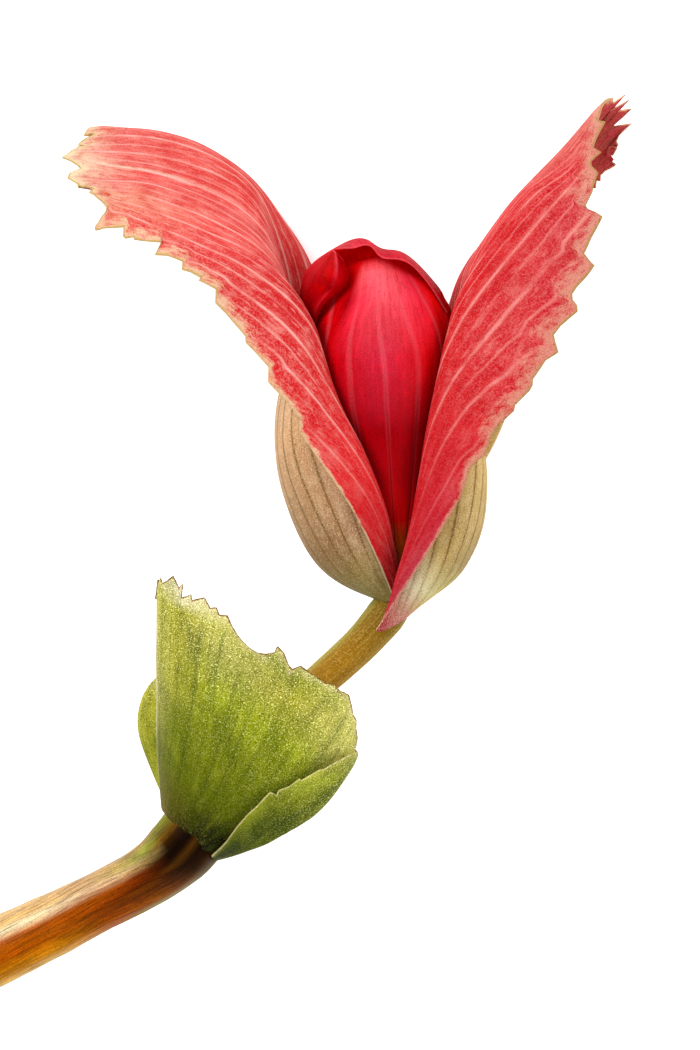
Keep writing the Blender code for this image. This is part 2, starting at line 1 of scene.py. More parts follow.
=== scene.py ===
"""Begonia flower, dressed: a just-opened male flower with its bracts and cut stem, lying down.

Every piece is a surface of two parameters, closed round its margins and ends. The sheets are drawn
through the guide curves of the part's solids, but with more corners in their torn margins and a
wider front petal, and the stem and the flower stalk reach further into each other. Lengths are in
millimetres until a mesh is made. The guides are measured from the receptacle, where the petals
meet the flower stalk. A guide runs from the base of its sheet to the tip, and the guides are keyed
by their place across the sheet.
"""

import math

import bpy
import numpy as np
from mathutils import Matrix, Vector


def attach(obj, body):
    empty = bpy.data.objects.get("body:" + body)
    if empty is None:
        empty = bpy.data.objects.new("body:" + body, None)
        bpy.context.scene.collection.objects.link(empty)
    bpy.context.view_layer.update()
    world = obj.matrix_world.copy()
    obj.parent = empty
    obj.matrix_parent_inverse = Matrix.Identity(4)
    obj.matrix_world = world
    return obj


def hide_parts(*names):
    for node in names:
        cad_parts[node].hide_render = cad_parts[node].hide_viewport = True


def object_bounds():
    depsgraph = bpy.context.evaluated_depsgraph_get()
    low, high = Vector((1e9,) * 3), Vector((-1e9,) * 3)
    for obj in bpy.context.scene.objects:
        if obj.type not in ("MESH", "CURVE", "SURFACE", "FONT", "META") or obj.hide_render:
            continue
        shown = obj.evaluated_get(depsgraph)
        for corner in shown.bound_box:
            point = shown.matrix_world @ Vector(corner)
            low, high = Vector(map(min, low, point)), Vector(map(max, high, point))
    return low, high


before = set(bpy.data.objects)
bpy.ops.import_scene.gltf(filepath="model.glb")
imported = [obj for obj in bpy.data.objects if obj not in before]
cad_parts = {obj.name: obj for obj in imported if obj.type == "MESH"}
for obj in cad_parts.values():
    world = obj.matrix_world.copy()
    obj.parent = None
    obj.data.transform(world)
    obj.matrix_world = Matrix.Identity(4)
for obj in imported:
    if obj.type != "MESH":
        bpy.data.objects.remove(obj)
CAD_LOW, CAD_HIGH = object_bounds()

MM = 0.001

# The receptacle, measured from the low corner of the part's box.
RECEPTACLE = np.array(CAD_LOW) / MM + (55.07, 49.47, 13.21)

TEPAL_WALL = 0.5
PETAL_WALL = 0.38
BRACT_WALL = 0.5

OUTER_STATIONS = [0.0, 0.2, 0.4, 0.6, 0.8, 0.9, 1.0]
OUTER_LEFT = {
    -1.00: [(-0.2, -1.2, 2.8), (-5.2, 9.6, 11.0), (-12.0, 19.7, 13.0), (-18.4, 29.9, 12.0),
            (-25.7, 39.4, 10.0), (-30.8, 43.0, 7.5), (-34.9, 46.4, 5.0)],
    -0.55: [(0.2, 0.0, 2.6), (-2.3, 10.7, 9.5), (-7.3, 22.6, 9.5), (-11.9, 34.9, 7.2),
            (-23.0, 43.2, 5.0), (-30.1, 46.1, 4.2), (-36.8, 48.1, 3.0)],
    -0.25: [(-1.2, -1.0, 2.0), (-7.3, 5.8, 7.5), (-12.7, 18.2, 8.0), (-11.9, 33.6, 5.4),
            (-21.1, 45.0, 2.5), (-29.5, 48.2, 1.8), (-38.0, 49.7, 1.0)],
    0.00: [(-2.4, -0.7, 0.0), (-10.3, 4.5, 0.0), (-14.6, 17.6, 0.0), (-12.6, 32.9, 3.0),
           (-19.6, 46.4, -1.0), (-28.8, 49.8, -0.6), (-38.9, 51.5, -1.0)],
    0.25: [(-1.3, -0.9, -2.0), (-7.3, 5.8, -7.5), (-13.1, 18.2, -8.4), (-13.2, 34.8, -3.0),
           (-19.8, 49.6, -3.6), (-29.0, 52.5, -2.4), (-38.6, 52.8, -2.0)],
    0.55: [(-0.2, 0.0, -2.8), (-2.3, 10.7, -9.5), (-7.3, 22.6, -9.9), (-10.6, 39.1, -8.4),
           (-20.9, 52.15, -7.0), (-28.8, 55.15, -5.0), (-37.0, 55.3, -3.0)],
    1.00: [(-0.6, -1.2, -2.8), (-5.2, 9.6, -11.0), (-12.0, 19.7, -12.8), (-16.3, 33.2, -12.8),
           (-20.5, 50.0, -12.0), (-27.8, 53.5, -10.0), (-35.3, 55.0, -8.0)],
}
OUTER_RIGHT = {
    -1.00: [(-2.5, -4.5, 4.8), (4.6, 6.5, 11.0), (11.8, 18.1, 13.0), (18.0, 30.2, 12.0),
            (22.2, 43.7, 9.0), (23.3, 50.6, 6.8), (24.7, 56.5, 4.0)],
    -0.55: [(-1.3, -4.3, 4.4), (2.0, 7.7, 9.5), (4.3, 22.2, 9.5), (7.6, 34.8, 7.0),
            (15.8, 47.0, 5.0), (21.2, 51.5, 4.4), (24.4, 57.1, 3.0)],
    -0.25: [(1.2, -2.7, 3.0), (6.4, 3.8, 7.5), (9.4, 15.6, 8.0), (7.9, 33.4, 5.0),
            (14.0, 46.4, 3.0), (20.3, 52.4, 2.6), (24.5, 58.1, 1.5)],
    0.00: [(2.2, -1.1, 0.4), (8.2, 3.5, 0.0), (10.6, 13.4, 0.0), (7.8, 32.9, 2.5),
           (12.85, 45.5, 0.0), (19.8, 52.9, 0.0), (25.0, 58.9, 0.0)],
    0.25: [(1.4, -1.2, -2.0), (6.4, 3.8, -7.5), (9.6, 15.6, -8.2), (7.9, 34.7, -3.0),
           (13.8, 46.1, -3.5), (20.3, 53.1, -2.6), (25.8, 58.8, -1.0)],
    0.55: [(1.0, -0.1, -3.0), (2.0, 7.7, -9.5), (4.3, 22.2, -9.9), (7.2, 36.5, -8.5),
           (15.6, 45.8, -7.0), (21.7, 52.1, -5.0), (26.6, 57.6, -2.0)],
    1.00: [(1.0, -1.7, -3.6), (4.6, 6.5, -11.0), (11.8, 18.1, -12.8), (15.8, 29.6, -12.8),
           (20.9, 44.0, -10.0), (24.0, 49.2, -7.5), (26.4, 53.3, -4.0)],
}

PETAL_STATIONS = [0.0, 0.2, 0.4, 0.6, 0.8, 1.0]
INNER_FRONT = {
    -1.00: [(-1.2, 0.5, 0.7), (-5.0, 8.6, 1.0), (-8.8, 18.2, 1.1), (-10.4, 27.8, 1.2),
            (-9.9, 33.6, 2.4), (-6.4, 38.6, 2.6)],
    -0.75: [(-1.1, 0.5, 1.3), (-4.5, 8.6, 3.4), (-8.0, 18.2, 4.3), (-9.5, 27.7, 4.6),
            (-8.2, 34.2, 4.2), (-5.4, 39.2, 3.6)],
    -0.50: [(-0.8, 0.5, 1.7), (-3.6, 8.6, 5.2), (-6.6, 18.2, 6.6), (-8.0, 27.6, 7.2),
            (-5.3, 34.8, 7.9), (-4.2, 39.6, 4.7)],
    0.00: [(0.0, 0.5, 2.1), (-0.4, 8.6, 6.8), (-1.0, 18.2, 9.2), (-1.6, 27.8, 10.0),
           (-1.7, 35.0, 9.4), (-1.9, 40.0, 4.8)],
    0.50: [(0.8, 0.5, 1.7), (2.2, 8.6, 5.2), (3.8, 18.2, 6.6), (4.6, 28.4, 6.8), (3.2, 35.0, 6.2),
           (0.9, 38.7, 3.8)],
    0.78: [(1.1, 0.5, 1.2), (3.0, 8.6, 3.6), (5.2, 18.2, 4.0), (6.0, 28.1, 4.0), (5.1, 34.6, 3.6),
           (1.8, 38.0, 2.7)],
    1.00: [(1.2, 0.5, 0.7), (3.2, 8.6, 2.2), (5.6, 18.2, 1.4), (6.6, 27.6, 0.6), (5.7, 33.8, 0.8),
           (2.6, 37.2, 1.4)],
}

HOOD_STATIONS = [0.0, 0.25, 0.5, 0.75, 0.9, 1.0]
INNER_BACK = {
    -1.00: [(-1.7, 0.6, -0.7), (-5.0, 11.0, -0.3), (-9.9, 23.0, 0.0), (-9.3, 33.9, 4.4),
            (-6.1, 37.1, 5.9), (-6.5, 39.7, 6.3)],
    -0.85: [(-1.7, 0.6, -1.0), (-5.4, 11.0, -0.9), (-10.6, 22.9, -0.9), (-9.7, 33.6, 5.2),
            (-7.3, 37.7, 8.0), (-7.5, 40.7, 8.3)],
    -0.70: [(-1.6, 0.6, -1.2), (-5.6, 11.0, -1.7), (-10.9, 22.8, -2.2), (-11.5, 34.1, -0.2),
            (-10.3, 38.1, 2.6), (-7.7, 41.0, 6.6)],
    -0.35: [(-0.8, 0.6, -1.9), (-3.6, 10.7, -5.0), (-6.5, 22.4, -7.3), (-8.4, 35.0, -7.0),
            (-7.1, 41.3, 2.0), (-5.3, 41.1, 7.7)],
    0.00: [(0.0, 0.6, -2.3), (-0.4, 10.4, -6.6), (-1.1, 22.4, -9.4), (-2.4, 35.3, -9.6),
           (-3.8, 41.9, 2.5), (-3.1, 41.3, 8.2)],
    0.18: [(0.45, 0.6, -2.1), (1.3, 10.5, -6.1), (1.8, 22.4, -8.8), (0.6, 35.3, -8.8),
           (-1.8, 40.9, 2.4), (-1.8, 40.0, 7.9)],
    0.35: [(0.8, 0.6, -1.9), (2.8, 10.7, -5.0), (4.2, 22.4, -7.3), (3.2, 35.0, -7.2),
           (0.4, 40.5, 2.0), (0.4, 39.7, 7.5)],
    0.70: [(1.3, 0.6, -1.0), (4.4, 11.0, -1.4), (7.1, 23.0, -1.8), (6.0, 34.1, -1.0),
           (4.1, 37.2, 1.0), (3.6, 37.0, 5.8)],
    1.00: [(1.3, 0.6, -0.5), (4.6, 11.3, 0.0), (7.2, 23.6, 0.8), (6.1, 32.8, 1.8), (5.6, 34.6, 2.8),
           (6.0, 33.4, 3.6)],
}
INNER_LEFT = {
    -1.00: [(-0.6, 1.4, 1.0), (-2.6, 11.0, 3.0), (-4.8, 20.6, 3.7), (-6.2, 30.2, 3.9),
            (-5.8, 35.8, 3.4), (-5.6, 38.6, 2.2)],
    -0.50: [(-0.9, 1.4, 0.6), (-3.7, 11.0, 1.2), (-6.2, 20.6, 1.6), (-8.0, 30.2, 1.8),
            (-7.6, 35.2, 2.0), (-6.6, 38.6, 1.6)],
    0.00: [(-1.0, 1.4, 0.0), (-3.8, 11.0, -0.6), (-6.8, 20.6, -0.8), (-8.9, 30.2, -0.6),
           (-9.0, 35.0, -0.2), (-7.4, 38.2, 0.2)],
    0.50: [(-1.0, 1.4, -0.8), (-3.5, 11.0, -3.0), (-5.5, 20.6, -4.2), (-7.1, 30.2, -4.4),
           (-7.3, 35.0, -3.7), (-6.1, 38.2, -1.6)],
    1.00: [(-0.6, 1.4, -1.2), (-2.2, 11.0, -4.0), (-3.6, 20.6, -5.8), (-4.6, 30.2, -6.4),
           (-4.6, 35.0, -5.4), (-3.6, 37.9, -3.4)],
}
INNER_RIGHT = {
    -1.00: [(0.7, 1.4, 1.0), (1.9, 11.0, 2.8), (2.6, 20.6, 3.6), (3.1, 30.2, 3.6), (2.4, 34.6, 3.0),
            (1.2, 36.7, 2.0)],
    -0.50: [(0.8, 1.4, 0.6), (2.5, 11.0, 1.2), (3.7, 20.6, 1.6), (3.8, 30.2, 1.6), (2.6, 34.6, 1.4),
            (1.4, 37.3, 1.0)],
    0.00: [(1.0, 1.4, 0.0), (2.8, 11.0, -0.6), (4.2, 20.6, -0.6), (4.6, 29.6, -0.6),
           (3.2, 34.6, -0.4), (1.6, 37.6, -0.4)],
    0.50: [(0.8, 1.4, -0.8), (2.4, 11.0, -2.4), (3.7, 20.6, -4.0), (4.1, 29.6, -4.4),
           (3.1, 34.6, -3.8), (0.7, 37.8, -1.8)],
    1.00: [(0.7, 1.4, -1.2), (1.3, 11.0, -3.8), (1.7, 20.6, -5.4), (1.7, 29.6, -6.2),
           (0.7, 34.6, -5.2), (-1.0, 38.0, -2.8)],
}

BRACT_STATIONS = [0.0, 0.25, 0.5, 0.75, 1.0]
BRACT_FRONT = {
    0.00: [(-27.4, -26.2, -4.0), (-27.2, -19.2, -3.8), (-27.2, -13.2, -3.6), (-27.4, -8.2, -2.6),
           (-27.4, -4.6, -2.0)],
    0.12: [(-28.1, -25.9, -1.5), (-28.6, -19.4, -0.5), (-28.8, -13.0, 0.0), (-28.8, -6.4, 0.5),
           (-28.5, 1.6, 1.0)],
    0.25: [(-27.6, -26.7, 1.4), (-27.0, -19.2, 3.2), (-26.5, -12.5, 3.6), (-26.2, -5.8, 3.2),
           (-25.8, 0.0, 2.6)],
    0.45: [(-26.2, -28.1, 3.2), (-24.0, -22.0, 5.6), (-22.3, -15.1, 6.2), (-21.1, -8.6, 5.4),
           (-19.9, -3.6, 4.2)],
    0.65: [(-24.6, -29.5, 3.6), (-20.4, -24.4, 6.2), (-17.2, -18.4, 6.8), (-14.8, -13.0, 6.0),
           (-13.0, -9.1, 4.6)],
    0.82: [(-23.2, -30.8, 3.0), (-17.8, -27.4, 5.6), (-13.0, -22.6, 6.2), (-9.1, -17.2, 5.6),
           (-6.0, -12.6, 4.6)],
    1.00: [(-22.1, -32.0, 0.9), (-18.1, -30.8, 2.6), (-13.0, -28.5, 3.2), (-8.2, -24.5, 3.2),
           (-4.9, -18.7, 3.2)],
    1.20: [(-22.2, -31.6, 3.9), (-19.0, -28.2, 6.6), (-13.9, -23.9, 7.6), (-8.8, -21.1, 7.4),
           (-5.2, -19.3, 5.6)],
}
BRACT_BACK = {
    0.00: [(-27.0, -27.4, -5.6), (-27.6, -21.8, -5.1), (-27.8, -17.2, -5.1), (-27.8, -13.5, -5.2),
           (-27.6, -11.0, -5.6)],
    0.15: [(-26.4, -28.0, -6.2), (-29.1, -22.0, -6.4), (-30.8, -17.0, -6.6), (-30.5, -13.3, -6.8),
           (-29.0, -10.6, -7.0)],
    0.35: [(-25.6, -28.8, -6.7), (-27.6, -22.8, -8.2), (-27.6, -18.0, -8.8), (-26.9, -13.4, -8.8),
           (-25.7, -10.1, -8.4)],
    0.60: [(-24.1, -30.0, -6.5), (-23.2, -25.0, -9.4), (-21.1, -20.2, -10.2), (-19.4, -15.6, -10.0),
           (-18.0, -12.2, -9.2)],
    0.80: [(-22.6, -31.2, -5.6), (-19.0, -27.6, -8.6), (-15.1, -23.8, -9.2), (-11.8, -19.7, -8.8),
           (-9.4, -16.3, -7.8)],
    1.00: [(-21.5, -31.9, -4.0), (-18.2, -30.0, -5.4), (-13.9, -27.1, -5.6), (-9.8, -23.0, -5.4),
           (-6.8, -19.0, -5.0)],
}

# Corners of the torn and toothed margins: (place along the margin, reach outwards, shift along
# the margin), straight between them. "low" and "high" are the two sides, "tip" the blunt end.
LEFT_MARGINS = {
    "low": [(0.39, 0.0, 0.0), (0.41, -0.9, 0.0), (0.455, -0.6, 0.0), (0.505, 0.1, 0.0),
            (0.53, -0.9, -0.1), (0.57, -0.5, 0.0), (0.595, -0.2, 0.0), (0.605, -0.6, 0.0),
            (0.665, -0.2, 0.0), (0.695, 0.2, 0.0), (0.715, -0.8, -0.1), (0.75, 0.1, 0.0),
            (0.755, -0.3, -0.2), (0.775, 0.1, 0.0), (0.79, 0.6, 0.1), (0.8, -0.2, 0.0),
            (0.83, 0.4, 0.0), (0.85, 1.2, 0.2), (0.86, -0.6, -0.5), (0.87, 0.0, 0.0),
            (0.9, 1.2, 0.5), (0.905, 1.0, 0.4), (0.915, 2.0, 1.1), (0.92, 2.0, 1.2),
            (0.93, 0.9, 0.8), (0.945, 3.6, 3.9), (0.95, 5.1, 5.4), (0.955, 5.9, 6.2),
            (0.96, 5.8, 6.3), (0.97, 4.3, 4.9), (0.985, 1.1, 1.4), (1.0, 0.0, 0.0)],
    "tip": [(-1.0, 0.0, 0.0), (-0.87, 0.1, 0.4), (-0.66, 0.0, 0.0), (-0.56, 0.4, -0.4),
            (-0.55, -0.7, 0.6), (-0.44, 0.0, 0.0), (-0.36, 0.9, -0.7), (-0.35, 1.2, -1.0),
            (-0.31, 0.9, -0.6), (-0.21, 1.4, -0.9), (-0.16, 1.7, -1.1), (-0.12, 1.0, -0.6),
            (-0.1, -0.7, 0.1), (-0.08, -0.5, 0.3), (0.02, 0.4, 0.1), (0.07, 1.3, 0.1),
            (0.16, 0.9, 0.2), (0.26, 0.6, 0.1), (0.34, 0.0, -0.1), (0.375, -0.8, -0.4),
            (0.385, 0.3, -0.3), (0.44, -0.2, -0.1), (0.515, -1.0, -0.4), (0.555, -0.5, -0.5),
            (0.6, -0.3, -1.5), (0.68, -0.2, -1.2), (0.85, 0.1, 0.0), (1.0, -0.5, -0.7)],
}
RIGHT_MARGINS = {
    "low": [(0.19, 0.0, 0.0), (0.28, -0.2, 0.0), (0.305, -0.6, 0.0), (0.335, -1.1, 0.0),
            (0.355, -0.8, 0.0), (0.365, -0.4, 0.0), (0.4, -0.9, 0.0), (0.42, -0.9, 0.0),
            (0.46, 0.0, 0.0), (0.47, -0.2, 0.0), (0.505, 0.5, 0.0), (0.515, 0.5, 0.0),
            (0.525, 0.2, 0.0), (0.565, 0.6, 0.0), (0.585, 1.6, 0.1), (0.6, 0.7, 0.1),
            (0.61, 0.3, 0.0), (0.63, 0.7, 0.0), (0.645, 1.3, 0.1), (0.66, 2.0, 0.3),
            (0.67, 1.7, 0.2), (0.675, 1.0, 0.2), (0.685, 0.7, 0.1), (0.7, 1.0, 0.1),
            (0.72, 1.8, 0.4), (0.74, 2.4, 0.6), (0.745, 1.8, 0.4), (0.755, 0.8, 0.2),
            (0.785, 1.3, 0.4), (0.805, 1.8, 0.6), (0.82, 2.2, 0.8), (0.825, 1.3, 0.5),
            (0.83, 0.2, 0.0), (0.835, -0.2, -0.1), (0.86, 0.4, 0.1), (0.87, 0.4, 0.1),
            (0.895, 0.7, 0.1), (0.905, -0.3, 0.0), (0.915, -0.4, 0.0), (0.925, 0.0, 0.0),
            (0.935, 0.5, 0.0), (0.94, -0.4, 0.0), (0.945, -0.6, 0.0), (0.965, -0.4, 0.0),
            (1.0, 0.2, 0.0)],
    "high": [(0.88, 0.0, 0.0), (0.885, -0.2, 0.0), (0.89, 0.2, 0.1), (0.905, -0.2, 0.0),
             (0.91, 0.3, 0.1), (0.92, -0.1, 0.0), (0.935, 0.2, 0.2), (0.95, 0.9, 0.7),
             (0.96, 1.5, 1.3), (0.965, 0.2, 0.0), (0.97, -1.7, -1.8), (0.975, -1.7, -1.5),
             (0.98, 0.0, 0.0)],
    "tip": [(-1.0, -0.1, 0.0), (-0.685, -0.9, 0.8), (-0.6, -0.6, 0.6), (-0.33, 0.0, 0.0),
            (0.04, 0.2, -0.2), (0.2, 0.5, -0.2), (0.285, 0.0, 0.0), (0.34, 1.7, 0.1),
            (0.38, -0.3, 0.0), (0.405, -0.9, -0.2), (0.435, 1.8, 0.5), (0.46, 0.8, 0.3),
            (0.51, 0.0, 0.0), (0.545, 2.0, 1.1), (0.555, 0.9, 0.5), (0.65, -0.2, -0.2),
            (0.755, -1.5, -1.2), (0.77, 2.8, 1.7), (0.78, 1.5, 1.1), (0.85, 0.2, 0.2),
            (0.915, -0.3, -0.2), (0.955, 0.3, 0.3), (0.96, -1.1, -1.0), (0.98, -1.6, -1.5)],
}
BRACT_MARGINS = {
    "high": [(0.0, 0.0, 0.0), (0.08, -0.2, 0.1), (0.15, -0.2, 0.1), (0.26, 0.3, -0.1),
             (0.33, 0.5, -0.2), (0.375, 0.5, -0.2), (0.46, 0.8, -0.4), (0.475, -0.1, 0.0),
             (0.495, 0.3, -0.1), (0.545, 0.0, 0.0), (0.6, 0.3, 0.1), (0.61, 0.0, 0.0),
             (0.72, 0.2, 0.0), (0.74, 0.0, 0.0), (0.96, 0.1, 0.0), (1.0, 0.0, 0.0)],
    "tip": [(0.12, -1.5, -1.0), (0.13, -1.5, -0.3), (0.15, -0.2, -0.1), (0.17, -0.8, -0.3),
            (0.19, -0.2, -0.3), (0.215, 1.0, -0.3), (0.225, 0.6, -0.1), (0.235, 0.2, 0.0),
            (0.245, 1.0, 0.2), (0.255, -0.7, -0.2), (0.275, -0.2, 0.0), (0.29, 0.3, 0.0),
            (0.3, -0.3, -0.1), (0.32, 0.3, 0.1), (0.335, 0.8, 0.3), (0.36, 0.2, 0.1),
            (0.37, 0.0, 0.0), (0.39, 0.5, 0.0), (0.405, -0.1, 0.0), (0.43, 0.4, 0.1),
            (0.455, -0.3, -0.1), (0.485, -0.8, -0.3), (0.505, -1.0, -0.4), (0.535, -1.1, -0.4),
            (0.56, -0.9, -0.3), (0.58, -0.3, -0.1), (0.595, 0.6, 0.2), (0.6, 1.4, 0.0),
            (0.615, 1.2, 0.3), (0.645, 0.3, 0.0), (0.66, 0.1, 0.0), (0.675, 0.9, 0.0),
            (0.695, 0.7, -0.1), (0.72, 0.4, 0.0), (0.745, 0.1, 0.0), (0.77, 0.3, 0.0),
            (0.79, 0.0, 0.0), (0.82, 0.3, 0.0), (0.835, 0.0, 0.0), (0.88, -0.4, -0.3),
            (0.9, 0.1, 0.0), (0.92, -0.1, 0.0), (0.955, 0.3, 0.3), (0.98, -0.1, 0.0),
            (1.01, -0.5, -0.5), (1.03, 0.0, 0.0)],
}
BACK_MARGINS = {
    "tip": [(0.1, 0.0, 0.0), (0.16, 0.6, 0.0), (0.19, -0.2, 0.0), (0.28, 0.5, 0.1),
            (0.31, 0.0, 0.0), (0.38, 0.8, 0.2), (0.42, 0.0, 0.0), (0.56, 0.8, 0.2),
            (0.6, -0.1, 0.0), (0.74, 0.9, 0.2), (0.78, 0.0, 0.0), (0.9, 0.6, 0.0),
            (0.94, 0.0, 0.0)],
}

# A margin's corners pull on the sheet as far in as these steps of its places across and along, and
# move it mostly level, because the sheets lie down.
MARGIN_DEPTH = 0.25
TIP_DEPTH = 0.12
LEVEL = np.array([1.0, 1.0, 0.25])

# The wall thins towards a margin over this distance, down to this share. The rim then stands out
# by this share of the half wall.
THIN_WITHIN = 1.5
THIN_SHARE = 0.45
RIM_BULGE = 0.8

# Veins spread with this power of the place along a sheet, and lean and branch between these
# places along it. A branch's rib has this share of a main one's height, and both fade out between
# these distances from the margin. Waver and ruffle are uneven over these lengths, and the ruffle
# grows between these places along a sheet.
FAN_POWER = 1.5
LEAN_RANGE = (0.55, 0.9)
BRANCH_RANGE = (0.35, 0.6)
BRANCH_HEIGHT = 0.6
RIB_FADE = (0.3, 2.5)
WAVER_LENGTH = 9.0
RUFFLE_LENGTH = 11.0
RUFFLE_RANGE = (0.15, 0.5)

# A folded part of a sheet is this much less dry, past a soft step this wide.
FOLDED_WET = 0.85
FOLD_BLEND = 0.03

# Even rows along a sheet and columns across it. A margin's corners add lines of their own.
GRIDS = {"tepal": (250, 170), "front": (150, 120), "hood": (180, 140), "side": (90, 60),
         "bract_front": (170, 200), "bract_back": (90, 110)}

# Points and radius of the stem and of the flower stalk, from foot to head.
STEM_ROUTE = [
    (-53.2, -45.8, -9.1, 4.1), (-46.1, -42.3, -7.9, 3.95), (-40.6, -39.65, -6.4, 3.75),
    (-35.8, -37.2, -5.0, 3.5), (-31.4, -34.95, -3.6, 3.6), (-28.6, -33.15, -2.5, 3.8),
    (-26.4, -31.2, -1.2, 4.15), (-24.8, -29.4, -0.3, 4.25), (-23.8, -28.1, 0.1, 4.05),
    (-22.9, -26.9, 0.2, 3.4),
]
STALK_ROUTE = [
    (-23.6, -27.8, -1.5, 2.7), (-19.2, -21.8, -1.0, 2.4), (-14.0, -15.3, -0.5, 2.2),
    (-9.4, -10.8, -0.2, 2.1), (-7.3, -8.9, -0.1, 2.15), (-5.0, -6.8, 0.0, 2.2),
    (-2.9, -4.6, 0.0, 2.3), (-1.5, -2.9, 0.0, 2.4), (-0.8, -1.9, -0.1, 2.3),
    (-0.3, -1.1, -0.2, 1.7), (0.0, -0.4, -0.2, 0.9), (0.0, 0.5, 0.0, 0.65),
]
# Rings along and points round a stalk, its ridges, their height and the seed of its unevenness.
STEM_FORM = dict(
    counts=(300, 96), ridges=9, height=0.05, seed=71)
STALK_FORM = dict(
    counts=(200, 64), ridges=7, height=0.03, seed=83)
# Ridges waver over this length, by this turn. Swellings have this length, and this share of the
# ridges' height. The fibres of the skin follow the waver by this share of a ridge.
WAVER, WAVER_TURN = 8.0, 1.5
SWELLING, SWELLING_SHARE = 4.0, 0.6
FIBRE_WAVER = 0.25
# A stalk has no margin, so its distance from one is given as far.
NO_MARGIN = 9.0

# The stamens' outline is (level, radius). Its anthers swell from one level to another in rings of
# eight, and its colour turns from filament to anther.
STAMEN_FOOT = np.array([0.0, 1.3, 0.0])
STAMEN_LEAN = -0.05
STAMEN_OUTLINE = [(0.0, 0.45), (3.0, 0.5), (6.0, 0.7), (8.5, 1.1), (10.5, 1.8), (12.5, 2.0),
                  (14.3, 1.5), (15.4, 0.6)]
STAMEN_GRID = (90, 96)
STAMEN_DOME = 0.3
ANTHERS_ROUND = 8
ANTHER_PITCH = 0.96
ANTHER_SWELL = 0.16
ANTHERS_FROM = (8.5, 10.5)
ANTHER_COLOUR_FROM = (6.0, 9.0)
FILAMENT = "#B9A24A"
ANTHER = "#E9C94E"


def paint(hex_colour):
    """sRGB hex to the linear RGBA that a shader takes."""
    parts = [int(hex_colour[i:i + 2], 16) / 255 for i in (1, 3, 5)]
    return [v / 12.92 if v <= 0.04045 else ((v + 0.055) / 1.055) ** 2.4 for v in parts] + [1.0]


def unit(ways):
    """The vectors at length 1."""
    return ways / np.maximum(np.linalg.norm(ways, axis=-1, keepdims=True), 1e-9)


def spline(knots, points, at):
    """Smooth curve through points at knots: a cubic on each stretch, with weighted mean slopes."""
    knots, points = np.asarray(knots, float), np.asarray(points, float)
    at = np.atleast_1d(np.asarray(at, float))
    shape = (-1,) + (1,) * (points.ndim - 1)
    step = np.diff(knots)
    slope = np.diff(points, axis=0) / step.reshape(shape)
    share = (step[:-1] / (step[:-1] + step[1:])).reshape(shape)
    tangent = np.empty_like(points)
    tangent[1:-1] = slope[:-1] * (1 - share) + slope[1:] * share
    tangent[0] = 1.5 * slope[0] - 0.5 * tangent[1]
    tangent[-1] = 1.5 * slope[-1] - 0.5 * tangent[-2]
    piece = np.clip(np.searchsorted(knots, at, side="right") - 1, 0, len(knots) - 2)
    s = ((at - knots[piece]) / step[piece]).reshape(shape)
    length = step[piece].reshape(shape)
    return ((2 * s**3 - 3 * s**2 + 1) * points[piece]
            + (s**3 - 2 * s**2 + s) * length * tangent[piece]
            + (3 * s**2 - 2 * s**3) * points[piece + 1]
            + (s**3 - s**2) * length * tangent[piece + 1])


def surface(guides, stations, along, across):
    """Points [along][across] of the sheet: splines along the guides, then splines across them."""
    places = sorted(guides)
    net = np.array([guides[place] for place in places], float)
    lengthwise = spline(stations, net.swapaxes(0, 1), along)
    return spline(places, lengthwise.swapaxes(0, 1), across).swapaxes(0, 1)


def wander(x, y, size, seed):
    """Smooth unevenness within about 1 of zero: a quarter of the sum of eight sine waves, each
    0.6 to 1.6 sizes long and with its own heading h and phase,
    sin(2 pi (x cos h + y sin h) / length + phase)."""
    draw = np.random.default_rng(seed)
    total = np.zeros(np.broadcast(x, y).shape)
    for heading, phase, stretch in draw.uniform(0, 1, (8, 3)):
        heading, phase = 2 * math.pi * heading, 2 * math.pi * phase
        wave = 2 * math.pi / (size * (0.6 + stretch))
        total += np.sin(wave * (x * math.cos(heading) + y * math.sin(heading)) + phase)
    return total / 4


def smooth(value, low, high):
    """0 below low, 1 above high, and a soft step between."""
    share = np.clip((value - low) / (high - low), 0, 1)
    return share * share * (3 - 2 * share)


def lines(low, high, count, corners):
    """Even places from low to high, where those next to a margin's corner give way to it."""
    even = np.linspace(low, high, count)
    fixed = np.array([corner[0] for corner in corners if low < corner[0] < high])
    if len(fixed):
        gap = np.abs(even[:, None] - fixed[None, :]).min(axis=1)
        keep = gap > 0.4 * (high - low) / (count - 1)
        keep[[0, -1]] = True
        even = even[keep]
    return np.unique(np.concatenate([even, fixed]))


def with_margins(points, along, across, margins):
    """Moves the margins to their corners: each point of a margin goes out by the corner table's
    reach and along by its shift, and the sheet inside follows with the pull
    (1 - distance / depth) ** 2."""
    for key, corners in margins.items():
        if key == "tip":
            rim, inner, places = points[-1], points[-2], across
            pull = np.clip(1 - (1 - along) / TIP_DEPTH, 0, 1)[:, None] ** 2
        else:
            edge, inside, end = (0, 1, across[0]) if key == "low" else (-1, -2, across[-1])
            rim, inner, places = points[:, edge], points[:, inside], along
            pull = np.clip(1 - np.abs(across - end) / MARGIN_DEPTH, 0, 1)[None, :] ** 2
        way = unit((rim - inner) * LEVEL)
        run = unit(np.gradient(rim, axis=0) * LEVEL)
        place, reaches, shifts = np.array(corners).T
        reach = np.interp(places, place, reaches, left=0, right=0)[:, None]
        shift = np.interp(places, place, shifts, left=0, right=0)[:, None]
        move = reach * way + shift * run
        move = move[None, :] if key == "tip" else move[:, None]
        points = points + pull[..., None] * move
    return points


